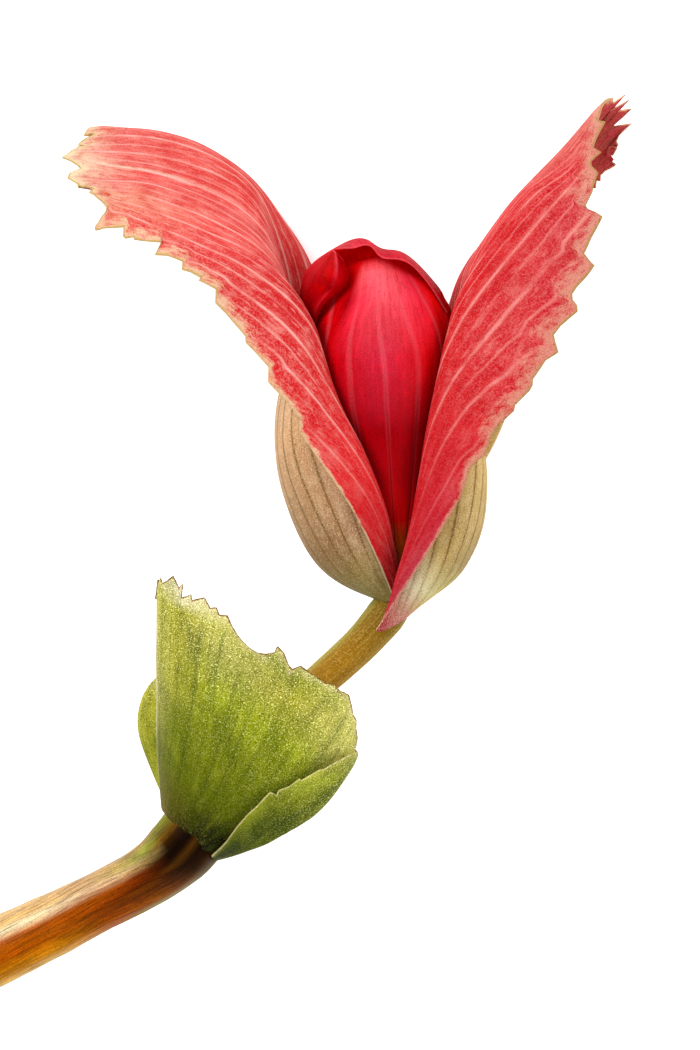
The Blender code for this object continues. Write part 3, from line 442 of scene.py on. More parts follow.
def travelled(points, axis):
    """Distance covered along an axis of the grid, from its first point."""
    steps = np.linalg.norm(np.diff(points, axis=axis), axis=-1)
    start = np.zeros_like(np.take(steps, [0], axis=axis))
    return np.concatenate([start, np.cumsum(steps, axis=axis)], axis=axis)


def border(rows, columns):
    """Indices once round the border of a grid, up its first column first."""
    grid = np.arange(rows * columns).reshape(rows, columns)
    return np.concatenate([grid[:-1, 0], grid[-1, :-1], grid[:0:-1, -1], grid[0, :0:-1]])


def colours(ramps, along, across):
    """Colour [along][across] of a sheet: straight between the tints of each ramp, and straight
    between neighbouring ramps."""
    places = sorted(ramps)
    rows = []
    for place in places:
        stops = sorted(ramps[place])
        shades = np.array([paint(TINTS[ramps[place][stop]])[:3] for stop in stops])
        rows.append(np.stack([np.interp(along, stops, shades[:, c]) for c in range(3)], axis=-1))
    weight = [np.interp(across, places, row) for row in np.eye(len(places))]
    return np.einsum("gac,gt->atc", np.array(rows), np.array(weight))


def add_mesh(name, points, faces, skins, kinds, marks, nodes):
    """Makes a piece of the flower from points in millimetres from the receptacle."""
    mesh = bpy.data.meshes.new(name)
    mesh.from_pydata(((points + RECEPTACLE) * MM).tolist(), [], faces)
    for material in skins:
        mesh.materials.append(material)
    mesh.polygons.foreach_set("material_index", np.asarray(kinds, np.int32))
    for key, values in marks.items():
        kind = "FLOAT_COLOR" if key == "tint" else "FLOAT_VECTOR"
        attribute = mesh.attributes.new(key, kind, "POINT")
        field = "color" if key == "tint" else "vector"
        attribute.data.foreach_set(field, values.astype(np.float32).ravel())
    mesh.shade_smooth()
    piece = bpy.data.objects.new(name, mesh)
    bpy.context.scene.collection.objects.link(piece)
    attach(piece, "root")
    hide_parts(*nodes)
    return piece


def sheet_faces(rows, columns, ring):
    """Faces and skins of a closed sheet: its front grid, its back grid, and two strips that join
    them over the rim. Its points are the front's, the back's and then the rim's."""
    count = rows * columns
    grid = np.arange(count).reshape(rows, columns)
    quads = np.stack([grid[:-1, :-1], grid[1:, :-1], grid[1:, 1:], grid[:-1, 1:]], axis=-1)
    quads = quads.reshape(-1, 4)
    edge = 2 * count + np.arange(len(ring))
    here = np.stack([ring, edge, count + ring])
    there = np.roll(here, -1, axis=1)
    front_strip = np.stack([there[0], here[0], here[1], there[1]], axis=-1)
    back_strip = np.stack([there[1], here[1], here[2], there[2]], axis=-1)
    faces = np.concatenate([quads, quads[:, ::-1] + count, front_strip, back_strip])
    kinds = np.repeat([0, 1, 0, 1], [len(quads), len(quads), len(ring), len(ring)])
    return faces.tolist(), kinds


def vein_ribs(along, fan, reach, to_margin, veins):
    """For either skin, the ribs over its veins, exp(-(distance / width) ** 2) high at a distance in
    spacings from a vein or a branch, and its marks: vein number, branches' strength, veins'
    strength."""
    lean = veins["lean"] * smooth(along[:, None], *LEAN_RANGE)
    wobble = veins["wobble"] * wander(fan, reach / 6, WAVER_LENGTH, veins["seed"])
    young = smooth(along[:, None] + 0.06 * np.sin(3 * fan), *BRANCH_RANGE) + 0 * fan
    strong = smooth(to_margin, *RIB_FADE)
    raised, marks = [], []
    for spacing in veins["spacing"]:
        number = (fan + lean) / spacing + wobble
        offbeat = np.abs(number - np.round(number))
        main = np.exp(-(offbeat / veins["width"]) ** 2)
        branch = BRANCH_HEIGHT * young * np.exp(-((0.5 - offbeat) / veins["width"]) ** 2)
        raised.append((main + branch) * strong)
        marks.append(np.stack([number, young * strong, strong], axis=-1).reshape(-1, 3))
    return raised, marks


def add_sheet(name, node, guides, stations, counts, margins, wall, skins, ramps, veins):
    """A closed thin body round a sheet. Its two skins stand half the wall from the sheet along
    its normal, normal = d/d(along) x d/d(across), and a rounded rim joins them.

    Veins fan out from the base: a line of equal vein number keeps across / (1 + fan * along **
    FAN_POWER). Each skin has its own spacing of the veins and height of the ribs."""
    low, high = min(guides), max(guides)
    side_corners = margins.get("low", []) + margins.get("high", [])
    along = lines(0.0, 1.0, counts[0], side_corners)
    across = lines(low, high, counts[1], margins.get("tip", []))
    plain = surface(guides, stations, along, across)
    facing = unit(np.cross(np.gradient(plain, along, axis=0), np.gradient(plain, across, axis=1)))
    points = with_margins(plain, along, across, margins)

    length = travelled(points, 0)
    width = travelled(points, 1)
    to_side = np.minimum(width, width[:, -1:] - width)
    to_margin = np.minimum(to_side, length[-1:] - length)
    spread = 1 + along[:, None] ** FAN_POWER * veins["fan"]
    fan = across[None, :] / spread * veins["half_width"]
    reach = length[:, len(across) // 2][:, None] + 0 * fan
    raised, skin_marks = vein_ribs(along, fan, reach, to_margin, veins)
    ruffle = veins["ruffle"] * wander(fan, reach, RUFFLE_LENGTH, veins["seed"] + 1)
    ruffle = ruffle * smooth(along[:, None], *RUFFLE_RANGE)

    half = wall / 2 * (THIN_SHARE + (1 - THIN_SHARE) * smooth(to_margin, 0, THIN_WITHIN))
    middle = points + ruffle[..., None] * facing
    front = middle + (half + veins["front"] * raised[0])[..., None] * facing
    back = middle - (half + veins["back"] * raised[1])[..., None] * facing

    ring = border(*points.shape[:2])
    inward = middle.reshape(-1, 3)[ring]
    step = np.roll(inward, -1, axis=0) - np.roll(inward, 1, axis=0)
    outward = unit(np.cross(step, facing.reshape(-1, 3)[ring]))
    rim = inward + outward * (half.ravel()[ring] * RIM_BULGE)[:, None]

    place = np.stack([fan, reach, to_margin], axis=-1).reshape(-1, 3)
    dry_from, dry_until, folded_from = veins["dry"]
    dry = smooth(along[:, None], dry_from, dry_until)
    dry = dry * (1 - FOLDED_WET * smooth(across[None, :], folded_from - FOLD_BLEND, folded_from))
    tint = [
        np.concatenate([colours(skin, along, across), dry[..., None]], axis=-1).reshape(-1, 4)
        for skin in ramps
    ]
    marks = {
        "place": np.concatenate([place, place, place[ring]]),
        "mark": np.concatenate([skin_marks[0], skin_marks[1], skin_marks[0][ring]]),
        "tint": np.concatenate([tint[0], tint[1], tint[0][ring]]),
    }
    everything = np.concatenate([front.reshape(-1, 3), back.reshape(-1, 3), rim])
    faces, kinds = sheet_faces(*points.shape[:2], ring)
    return add_mesh(name, everything, faces, skins, kinds, marks, [node])


def tube_faces(rings, turns):
    """Faces of a closed tube: quads round its rings, then a fan on either end point."""
    count = rings * turns
    grid = np.arange(count).reshape(rings, turns)
    after = np.roll(grid, -1, axis=1)
    quads = np.stack([grid[:-1], after[:-1], after[1:], grid[1:]], axis=-1).reshape(-1, 4)
    foot = np.stack([np.full(turns, count), after[0], grid[0]], axis=-1)
    head = np.stack([np.full(turns, count + 1), grid[-1], after[-1]], axis=-1)
    return quads.tolist(), foot.tolist(), head.tolist()


def tube_marks(place, mark, tint):
    """The attributes of a closed tube, repeated on its two end points. Nothing on it is dry."""
    tint = np.concatenate([tint, 0 * tint[:, :1]], axis=1)
    fields = {"place": place.reshape(-1, 3), "mark": mark.reshape(-1, 3), "tint": tint}
    return {key: np.concatenate([values, values[[0, -1]]]) for key, values in fields.items()}


def add_stalk(name, node, slot, route, skins, ramps, counts, ridges, height, seed):
    """A closed round stalk. Its rings stand square to the route, and their radius is the route's
    with shallow ridges, radius + height * cos(ridges * turn + slow wander), and small swellings."""
    route = np.array(route)
    run = travelled(route[:, :3], 0)
    at = np.linspace(0, run[-1], counts[0])
    line = spline(run, route, at)
    line[:, 3] = np.interp(at, run, route[:, 3])
    ahead = unit(np.gradient(line[:, :3], axis=0))
    side = unit(np.cross(ahead, np.array([0.0, 0.0, 1.0])))
    upper = np.cross(side, ahead)
    turn = np.linspace(0, 2 * math.pi, counts[1], endpoint=False)
    round_x, round_y = np.cos(turn)[None, :], np.sin(turn)[None, :]
    along = at[:, None] + 0 * round_x
    radius = line[:, 3:4] + 0 * round_x
    folded = np.minimum(turn, 2 * math.pi - turn)[None, :]
    arc = radius * folded
    drift = wander(radius * round_x, along / 3, WAVER, seed)
    radius = radius + height * np.cos(ridges * turn[None, :] + WAVER_TURN * drift)
    swelling = wander(radius * round_x + 3 * round_y, along, SWELLING, seed + 1)
    radius = radius + SWELLING_SHARE * height * swelling
    shell = (line[:, None, :3] + radius[..., None] * (
        round_x[..., None] * side[:, None, :] + round_y[..., None] * upper[:, None, :]))
    quads, foot, head = tube_faces(len(at), counts[1])
    kinds = [0] * len(quads) + [len(skins) - 1] * len(foot) + [0] * len(head)
    points = np.concatenate([shell.reshape(-1, 3), line[[0, -1], :3]])
    ramps = {**ramps, 1.0: ramps[0.0]}
    tint = colours(ramps, at / run[-1], turn / (2 * math.pi)).reshape(-1, 3)
    place = np.stack([arc, along, 0 * arc + NO_MARGIN], axis=-1)
    number = ridges * folded / (2 * math.pi) + FIBRE_WAVER * drift
    marks = tube_marks(place, np.stack([number, 0 * arc, 0 * arc + 1], axis=-1), tint)
    return add_mesh(name, points, quads + foot + head, skins, kinds, marks, [node])


def add_stamens(name, node, skins):
    """One closed lobed body: a turned outline, radius(level) * (1 + swell * cos(n turn) * beat),
    with n anthers round and a beat that swaps sign from one ring of them to the next."""
    heights, radii = np.array(STAMEN_OUTLINE).T
    rings, turns = STAMEN_GRID
    levels = np.linspace(heights[0], heights[-1], rings)[:, None]
    turn = np.linspace(0, 2 * math.pi, turns, endpoint=False)[None, :]
    beat = np.cos(np.pi * (levels - heights[0]) / ANTHER_PITCH)
    swell = ANTHER_SWELL * smooth(levels, *ANTHERS_FROM)
    lobe = 1 + swell * np.cos(ANTHERS_ROUND * turn) * beat
    radius = spline(heights, radii, levels[:, 0])[:, None] * lobe
    middle = STAMEN_FOOT[0] + STAMEN_LEAN * levels
    shell = np.stack([middle + radius * np.cos(turn), STAMEN_FOOT[1] + levels + 0 * turn,
                      STAMEN_FOOT[2] - radius * np.sin(turn)], axis=-1)
    quads, foot, head = tube_faces(rings, len(turn[0]))
    faces = quads + foot + head
    poles = np.stack([shell[0].mean(axis=0), shell[-1].mean(axis=0) + (0, STAMEN_DOME, 0)])
    points = np.concatenate([shell.reshape(-1, 3), poles])
    place = np.stack([radius * turn, levels + 0 * turn, 0 * radius + NO_MARGIN], axis=-1)
    low, high = np.array(paint(FILAMENT)[:3]), np.array(paint(ANTHER)[:3])
    share = smooth(levels + 0 * turn, *ANTHER_COLOUR_FROM).reshape(-1, 1)
    number = ANTHERS_ROUND * turn / (2 * math.pi) + 0 * levels
    mark = np.stack([number, 0 * radius, 0 * radius + 1], axis=-1)
    marks = tube_marks(place, mark, low * (1 - share) + high * share)
    return add_mesh(name, points, faces, skins, np.zeros(len(faces)), marks, [node])


def add(tree, kind, inputs=None, **settings):
    """Adds a shader node with its settings. Inputs are values, or nodes and outputs to link."""
    made = tree.nodes.new(kind)
    for key, value in settings.items():
        setattr(made, key, value)
    for key, value in (inputs or {}).items():
        if isinstance(value, bpy.types.Node):
            value = next(output for output in value.outputs if output.enabled)
        if isinstance(value, bpy.types.NodeSocket):
            tree.links.new(value, made.inputs[key])
        else:
            made.inputs[key].default_value = value
    return made


# Where each pattern of a tissue starts and is full, as values of its noise, which is mostly near
# the middle, 0.5.
DARK_BLOTCH, PALE_BLOTCH = (0.56, 0.36), (0.52, 0.7)
DARK_STREAK, PALE_STREAK = (0.5, 0.34), (0.52, 0.7)
DARK_FIBRE, PALE_FIBRE = (0.48, 0.3), (0.54, 0.7)
DARK_MARBLE = (0.44, 0.3)
# Sparks mark the grain's cells that get painted glints.
PITS, SPARKS = (0.47, 0.3), (0.53, 0.7)
MOST_NOISE = (0.3, 0.7)
# Fibres are this many times as narrow and as short as streaks.
FIBRE_NARROW, FIBRE_SHORT = 3, 2
# Veins fade between these noise values, in waves a millimetre across and along.
VEIN_GAPS = (0.32, 0.6)
GAP_WAVES = (0.8, 0.12, 0.0)
# A pale network runs where the marbling is this near its middle.
NETWORK = (0.05, 0.0)
# Pale cells and veins are this faint before the places of a look's rise and core.
LEAST_RISE, LEAST_CORE = 0.2, 0.15
# A margin frays in this many waves a metre, and each pattern has this share in that. Where it
# stays wet, it is dry for this share of the way in. Its rim is this many times as wide.
FRAY_SCALE = 900.0
STREAK_FRAY, FIBRE_FRAY, GRAIN_FRAY = 0.9, 1.2, 0.9
FRAY_DEPTH = 1.8
WET_SHARE = 0.08
RIM_SPREAD = (0.3, 1.7)
# Pits and grains differ from a look's roughness by these, and grain raises the surface by this
# share of what streaks do.
SMOOTHER, ROUGHER = -0.06, 0.08
GRAIN_HEIGHT = 0.6
# The pale colour dodged into the sparks as a painted glint.
GLEAM = "#D0D0D0"


def tissue(name, look):
    """Plant tissue. The tint attribute carries the broad colour, on some pieces with painted light
    and shade in it; over it come long cell streaks in millimetres along the sheet, a marbling,
    veins, grain with painted glints and a dry margin, which is wide where the tint's alpha is 1 and
    a twelfth as wide where it is 0."""
    material = bpy.data.materials.new(name)
    material.use_nodes = True
    tree = material.node_tree
    tree.nodes.clear()
    place = add(tree, "ShaderNodeAttribute", attribute_name="place").outputs["Vector"]
    mark = add(tree, "ShaderNodeAttribute", attribute_name="mark").outputs["Vector"]
    tint = add(tree, "ShaderNodeAttribute", attribute_name="tint")
    spot = add(tree, "ShaderNodeSeparateXYZ", {0: place})
    to_margin = spot.outputs["Z"]
    vein = add(tree, "ShaderNodeSeparateXYZ", {0: mark})
    solid = add(tree, "ShaderNodeTexCoord").outputs["Object"]

    def noise(at, scale, detail):
        moved = add(tree, "ShaderNodeVectorMath", {0: at, 1: scale}, operation="MULTIPLY")
        return add(tree, "ShaderNodeTexNoise",
                   {"Vector": moved, "Scale": 1.0, "Detail": detail, "Roughness": 0.6})

    def remap(value, low, high, to_low=0.0, to_high=1.0):
        return add(tree, "ShaderNodeMapRange",
                   {0: value, 1: low, 2: high, 3: to_low, 4: to_high},
                   interpolation_type="SMOOTHSTEP")

    def calculate(operation, first, second=0.0):
        return add(tree, "ShaderNodeMath", {0: first, 1: second}, operation=operation)

    def times(first, second):
        return calculate("MULTIPLY", first, second)

    def over(colour, hex_value, share, depth, blend="MIX"):
        return add(tree, "ShaderNodeMix", {0: times(share, depth), 6: colour, 7: paint(hex_value)},
                   data_type="RGBA", blend_type=blend)

    deep, pale = look["deep"], look["pale"]
    wide, long = look["streak"]
    depth = look["streak_depth"]
    fine = look["fine_depth"]
    streak = noise(place, (1 / wide, 1 / long, 0.0), detail=3.0)
    fibre = noise(place, (FIBRE_NARROW / wide, FIBRE_SHORT / long, 0.0), detail=2.0)
    broad = noise(place, (1 / look["blotch"], 0.5 / look["blotch"], 0.0), detail=2.0)
    grain = noise(solid, (1 / MM / look["grain"],) * 3, detail=2.0)
    cloud = noise(solid, (1 / MM / look["marble"],) * 3, detail=2.0)
    blend = look["blend"]
    none, full = look["rise"]
    rise = remap(spot.outputs["Y"], none, full, LEAST_RISE, 1.0)

    # Blotches, then streaks and fibres.
    colour = over(tint.outputs["Color"], deep, remap(broad, *DARK_BLOTCH), look["blotch_depth"])
    colour = over(colour, pale, remap(broad, *PALE_BLOTCH), 0.5 * look["blotch_depth"], blend)
    colour = over(colour, deep, remap(streak, *DARK_STREAK), depth)
    colour = over(colour, pale, times(remap(streak, *PALE_STREAK), rise), depth, blend)
    colour = over(colour, deep, remap(fibre, *DARK_FIBRE), fine)
    colour = over(colour, pale, times(remap(fibre, *PALE_FIBRE), rise), fine, blend)

    # Marbling, which fades away from the margin.
    network = remap(calculate("ABSOLUTE", calculate("SUBTRACT", cloud, 0.5)), *NETWORK)
    lapel = remap(to_margin, look["marble_reach"], 0.4 * look["marble_reach"])
    colour = over(colour, deep, times(lapel, remap(cloud, *DARK_MARBLE)), look["marble_depth"])
    colour = over(colour, pale, times(times(lapel, network), rise), look["marble_depth"], blend)

    # Veins with paler or darker flanks, and the branches between them.
    near = calculate("PINGPONG", vein.outputs["X"], 0.5)
    between = calculate("PINGPONG", calculate("ADD", vein.outputs["X"], 0.5), 0.5)
    gaps = noise(place, GAP_WAVES, detail=2.0)
    broken = remap(gaps, *VEIN_GAPS, look["broken"], 1.0)
    width = look["vein_width"]
    main = times(vein.outputs["Z"], broken)
    flank = times(remap(near, look["flank_width"], 0.0), main)
    colour = over(colour, look["flank"], times(flank, rise), look["flank_depth"])
    none, full = look["core"]
    core = times(main, remap(spot.outputs["Y"], none, full, LEAST_CORE, 1.0))
    colour = over(colour, look["vein"], times(remap(near, width, 0.0), core), look["vein_depth"])
    minor = times(times(remap(between, 0.7 * width, 0.0), vein.outputs["Y"]), broken)
    colour = over(colour, look["vein"], minor, look["minor_depth"])

    # The dry margin and its thin rim.
    dryness = tint.outputs["Alpha"]
    uneven = noise(solid, (FRAY_SCALE,) * 3, detail=3.0)
    rough_edge = calculate("SUBTRACT", times(uneven, FRAY_DEPTH), FRAY_DEPTH / 2)
    frays = ((streak, STREAK_FRAY), (fibre, FIBRE_FRAY), (grain, GRAIN_FRAY))
    for part, weight in frays:
        rough_edge = calculate("ADD", rough_edge, times(calculate("SUBTRACT", part, 0.5), weight))
    reach = times(remap(dryness, 0.0, 1.0, WET_SHARE, 1.0), look["fade"])
    from_margin = calculate("SUBTRACT", calculate("DIVIDE", to_margin, reach), rough_edge)
    colour = over(colour, look["dry"], remap(from_margin, 1.0, 0.0), look["dry_depth"])
    rim = look["rim_width"]
    at_rim = calculate("DIVIDE", to_margin, remap(uneven, *MOST_NOISE, *RIM_SPREAD))
    at_rim = times(remap(at_rim, rim, 0.4 * rim), dryness)
    colour = over(colour, look["rim"], at_rim, look["rim_depth"])

    # Grain: dark pits, and light cells whose sparkle and gleam are painted glints on them.
    colour = over(colour, look["pit"], remap(grain, *PITS), look["pits"], "MULTIPLY")
    spark = times(remap(grain, *SPARKS), rise)
    colour = over(colour, look["spark"], spark, look["sparkle"], blend)
    colour = over(colour, GLEAM, spark, look["gleam"], "DODGE")

    height = calculate("ADD", streak, times(grain, GRAIN_HEIGHT))
    bump = add(tree, "ShaderNodeBump", {"Height": height, "Distance": look["bump"] * MM,
                                        "Strength": 1.0})
    shader = add(tree, "ShaderNodeBsdfPrincipled", {
        "Base Color": colour, "Normal": bump,
        "Roughness": remap(grain, *MOST_NOISE, look["rough"] + SMOOTHER, look["rough"] + ROUGHER),
    })
    shader.inputs["Specular IOR Level"].default_value = look["gloss"]
    glow = add(tree, "ShaderNodeBsdfTranslucent", {"Color": colour})
    both = add(tree, "ShaderNodeMixShader", {0: look["glow"], 1: shader, 2: glow})
    add(tree, "ShaderNodeOutputMaterial", {"Surface": both})
    return material


# The fan of a sheet's veins: how much they spread towards the tip, the sheet's half width, the
# distance between main veins on either skin, how far they lean sideways near the tip, their
# waver in spacings, their width in spacings, the height of the ribs over them on either skin,
# the sheet's own gentle waves, all in millimetres, and where its margin turns dry: from one
# place along it to another, and mostly this side of a place across.
LEFT_VEINS = dict(
    fan=1.0, half_width=13.5, spacing=(0.95, 1.5), lean=0.0, wobble=0.12, width=0.13, front=-0.03,
    back=0.05, ruffle=0.14, dry=(0.0, 1.0, 9.0), seed=11)
RIGHT_VEINS = dict(
    LEFT_VEINS, spacing=(1.5, 0.95), front=0.05, back=-0.03, dry=(0.1, 0.7, 0.25), seed=23)
PETAL_VEINS = dict(
    fan=0.0, half_width=10.0, spacing=(2.9, 2.9), lean=1.5, wobble=0.03, width=0.1, front=0.0,
    back=-0.06, ruffle=0.1, dry=(0.8, 0.95, 9.0), seed=37)
BRACT_VEINS = dict(
    fan=0.0, half_width=20.0, spacing=(1.7, 1.7), lean=0.0, wobble=0.12, width=0.16, front=0.03,
    back=-0.05, ruffle=0.14, dry=(0.6, 0.9, 1.05), seed=53)

# The tints of this flower's tissue, and of the light and shade painted on it: pale margins, greens,
# browns, oranges and reds, with gleam for a painted highlight.
TINTS = {
    "cream": "#F2EAD0", "lime_cream": "#F0FFD4", "shell": "#ECE0B8", "pale_straw": "#DAD26C",
    "straw": "#BCB64C", "dull_straw": "#ACA430", "lime": "#B8C034", "khaki": "#A09C50",
    "light_leaf": "#949C10", "leaf": "#6C7402", "deep_leaf": "#5C6400", "forest": "#344400",
    "olive": "#7C8420", "moss": "#707028", "drab": "#98844C", "umber": "#5C4A08",
    "bronze": "#946810", "brass": "#A88634", "black_green": "#141400", "black_brown": "#0C0300",
    "dark_brown": "#2A1600", "honey": "#CAA860", "sand": "#D4B080", "light_beige": "#D0AC88",
    "warm_beige": "#C8986C", "buff": "#B4926A", "brown_pink": "#C4947C", "dull_brown": "#946C44",
    "clay": "#C07062", "amber": "#D4902C", "orange": "#E07C20", "amber_brown": "#9A5808",
    "ochre": "#C48408", "rust": "#A24C00", "chestnut": "#702A00", "dark_umber": "#4C1800",
    "gleam": "#ECD8AC", "tan": "#CCA266", "light_tan": "#D6B46C", "tawny": "#8A4A08",
    "garnet": "#900008", "ruby": "#A2040A", "wine": "#9C0C2C", "crimson": "#BC0010",
    "lacquer": "#DC0408", "vermilion": "#F40C0C", "brick": "#C03440", "dusk_pink": "#B44458",
    "cherry": "#CA1C24", "scarlet": "#D42428", "poppy": "#E43034", "coral": "#E8504A",
    "light_coral": "#F0605A", "blush": "#F8807A", "dusty_coral": "#E4746A", "peach": "#E0AC84",
    "soft_crimson": "#C02840", "rose_red": "#F03048", "deep_rose": "#EE5864", "rose": "#FA6872",
}

# Ramps of these tints: for each line along a sheet, at its place across it, the tint at places from
# its base, 0, to its tip, 1. The margin of a tepal that faces up is at -1. Some ramps paint light
# and shade too, as said at each.
LEFT_OUTSIDE = {
    -1.0: {0.0: "khaki", 0.2: "drab", 0.5: "warm_beige", 0.8: "clay"},
    -0.55: {0.0: "khaki", 0.2: "brown_pink", 0.5: "warm_beige", 0.8: "clay"},
    -0.25: {0.0: "khaki", 0.2: "dull_brown", 0.4: "warm_beige", 0.6: "light_beige", 0.8: "clay"},
    1.0: {0.0: "moss", 0.2: "drab", 0.5: "buff", 0.8: "clay"},
}
# The left tepal's inside. Its -0.5 line darkens to cherry at 0.6 with painted shade, in the strip
# where the lapel's fold meets the bud.
LEFT_INSIDE = {
    -1.0: {0.0: "crimson", 0.25: "poppy", 0.8: "scarlet", 0.9: "coral", 1.0: "peach"},
    -0.5: {0.0: "crimson", 0.3: "poppy", 0.6: "cherry", 0.8: "light_coral", 1.0: "peach"},
    -0.2: {0.0: "crimson", 0.4: "scarlet", 0.7: "light_coral", 0.95: "dusty_coral",
           1.0: "lime_cream"},
    0.0: {0.0: "ruby", 0.4: "scarlet", 0.6: "light_coral", 0.92: "light_coral",
          1.0: "lime_cream"},
    0.02: {0.0: "ruby", 0.4: "scarlet", 0.6: "light_coral", 0.8: "blush", 0.9: "cream",
           1.0: "lime_cream"},
    0.06: {0.0: "ruby", 0.4: "poppy", 0.8: "coral", 0.93: "dusty_coral", 1.0: "lime_cream"},
    0.2: {0.0: "ruby", 0.4: "poppy", 0.6: "poppy", 0.8: "coral", 0.95: "dusty_coral",
          1.0: "shell"},
    1.0: {0.0: "ruby", 0.4: "scarlet", 0.6: "poppy", 0.8: "coral", 1.0: "dusty_coral"},
}
RIGHT_OUTSIDE = {
    -1.0: {0.0: "wine", 0.1: "brick", 0.2: "honey", 0.4: "peach", 0.6: "sand", 0.8: "brick"},
    -0.7: {0.0: "wine", 0.05: "brick", 0.1: "brown_pink", 0.2: "honey", 0.6: "sand",
           0.8: "brick"},
    -0.4: {0.0: "dusk_pink", 0.05: "brown_pink", 0.1: "shell", 0.2: "honey", 0.6: "sand",
           0.8: "brick"},
    -0.15: {0.0: "brown_pink", 0.05: "straw", 0.2: "drab", 0.4: "honey", 0.6: "sand",
            0.8: "brick"},
    0.1: {0.0: "drab", 0.2: "drab", 0.4: "honey", 0.6: "sand", 0.8: "brick"},
}
RIGHT_INSIDE = {
    -1.0: {0.0: "dusk_pink", 0.4: "cherry", 0.8: "brick", 1.0: "clay"},
    -0.65: {0.0: "crimson", 0.4: "cherry", 0.9: "cherry", 1.0: "clay"},
    -0.25: {0.0: "ruby", 0.4: "crimson", 0.8: "scarlet", 1.0: "clay"},
    0.0: {0.0: "garnet", 0.4: "cherry", 0.8: "coral", 1.0: "clay"},
    0.3: {0.0: "garnet", 0.6: "crimson", 1.0: "cherry"},
}
# The front petal's outside. Its face is lighter from 0.8 to 0.92, partly its own rose and partly
# painted light from above; the band at its tip (1) is darker with painted shade under the hood's
# rim, the -0.55 line is darker at 0.8 with painted shade in the fold beside the hood, and its
# flanks (-1, -0.7, 1) are darker with painted shade. The amber throat at its base is its own
# colour, painted lighter to make up for the shade there.
THROAT = {0.0: "amber", 0.1: "orange", 0.2: "vermilion", 0.3: "ruby", 0.42: "garnet"}
# The throat of the flanks: darker crimson and garnet, painted shade.
SHADED_FLANK_THROAT = {0.0: "amber_brown", 0.2: "crimson", 0.35: "garnet", 0.6: "crimson"}
FRONT_OUTSIDE = {
    -1.0: {**SHADED_FLANK_THROAT, 0.8: "lacquer"},
    -0.7: {**SHADED_FLANK_THROAT, 0.8: "lacquer"},
    -0.55: {**THROAT, 0.6: "lacquer", 0.8: "garnet", 0.95: "lacquer"},
    -0.42: {**THROAT, 0.6: "crimson", 0.8: "rose_red", 0.92: "rose", 1.0: "lacquer"},
    0.0: {**THROAT, 0.6: "soft_crimson", 0.8: "deep_rose", 0.92: "rose", 1.0: "crimson"},
    0.4: {**THROAT, 0.6: "lacquer", 0.8: "rose_red", 0.92: "rose_red", 1.0: "lacquer"},
    0.62: {**THROAT, 0.6: "lacquer", 0.8: "vermilion", 1.0: "lacquer"},
    1.0: {**SHADED_FLANK_THROAT, 0.8: "lacquer", 1.0: "crimson"},
}
HOOD_BASE = {0.0: "amber_brown", 0.4: "garnet", 0.7: "ruby"}
# The hood's outside. A thin painted highlight runs along the crest of its left fold, mostly on the
# -0.855 line, the strip beside it (-0.87) is darker with painted shade, its top near the tip is
# lighter with painted light from above, and its right margin (1) is darker with painted shade.
HOOD_OUTSIDE = {
    -1.0: {**HOOD_BASE, 0.8: "lacquer"},
    -0.87: {**HOOD_BASE, 0.8: "crimson"},
    -0.855: {**HOOD_BASE, 0.8: "rose_red", 0.85: "ruby", 0.9: "rose_red", 1.0: "rose"},
    -0.83: {**HOOD_BASE, 0.8: "lacquer", 0.85: "ruby", 0.9: "vermilion", 1.0: "scarlet"},
    -0.79: {**HOOD_BASE, 0.8: "crimson", 0.85: "lacquer", 1.0: "poppy"},
    -0.5: {**HOOD_BASE, 0.8: "lacquer", 0.9: "rose_red", 1.0: "deep_rose"},
    0.0: {**HOOD_BASE, 0.8: "poppy", 1.0: "rose_red"},
    0.5: {**HOOD_BASE, 0.8: "scarlet", 1.0: "rose_red"},
    1.0: {**HOOD_BASE, 0.8: "lacquer", 1.0: "crimson"},
}
CRIMSON_INSIDE = {0.0: {0.0: "tawny", 0.2: "garnet", 0.5: "crimson", 0.8: "lacquer"}}
# The bract's outer face: near black at its base by the stem and darker green low down, partly its
# own colour and partly painted shade, and paler towards its tip. The pale 0.11 line along its
# rolled left edge is partly its own pale green and partly a painted highlight.
BRACT_FACE = {
    0.0: {0.0: "olive", 0.4: "straw", 1.0: "straw"},
    0.11: {0.0: "straw", 0.4: "shell", 0.8: "shell", 1.0: "straw"},
    0.15: {0.0: "umber", 0.2: "moss", 0.6: "khaki", 1.0: "straw"},
    0.25: {0.0: "umber", 0.2: "deep_leaf", 0.4: "leaf", 0.65: "dull_straw", 0.9: "dull_straw",
           1.0: "cream"},
    0.45: {0.0: "dark_brown", 0.2: "deep_leaf", 0.4: "leaf", 0.6: "light_leaf", 0.8: "khaki",
           1.0: "pale_straw"},
    0.7: {0.0: "black_brown", 0.1: "black_green", 0.2: "deep_leaf", 0.4: "leaf",
          0.6: "light_leaf", 0.8: "dull_straw", 1.0: "olive"},
    0.9: {0.0: "black_brown", 0.2: "black_green", 0.4: "forest", 0.6: "light_leaf",
          0.8: "pale_straw"},
    1.2: {0.0: "black_brown", 0.2: "dark_brown", 0.4: "moss", 1.0: "khaki"},
}
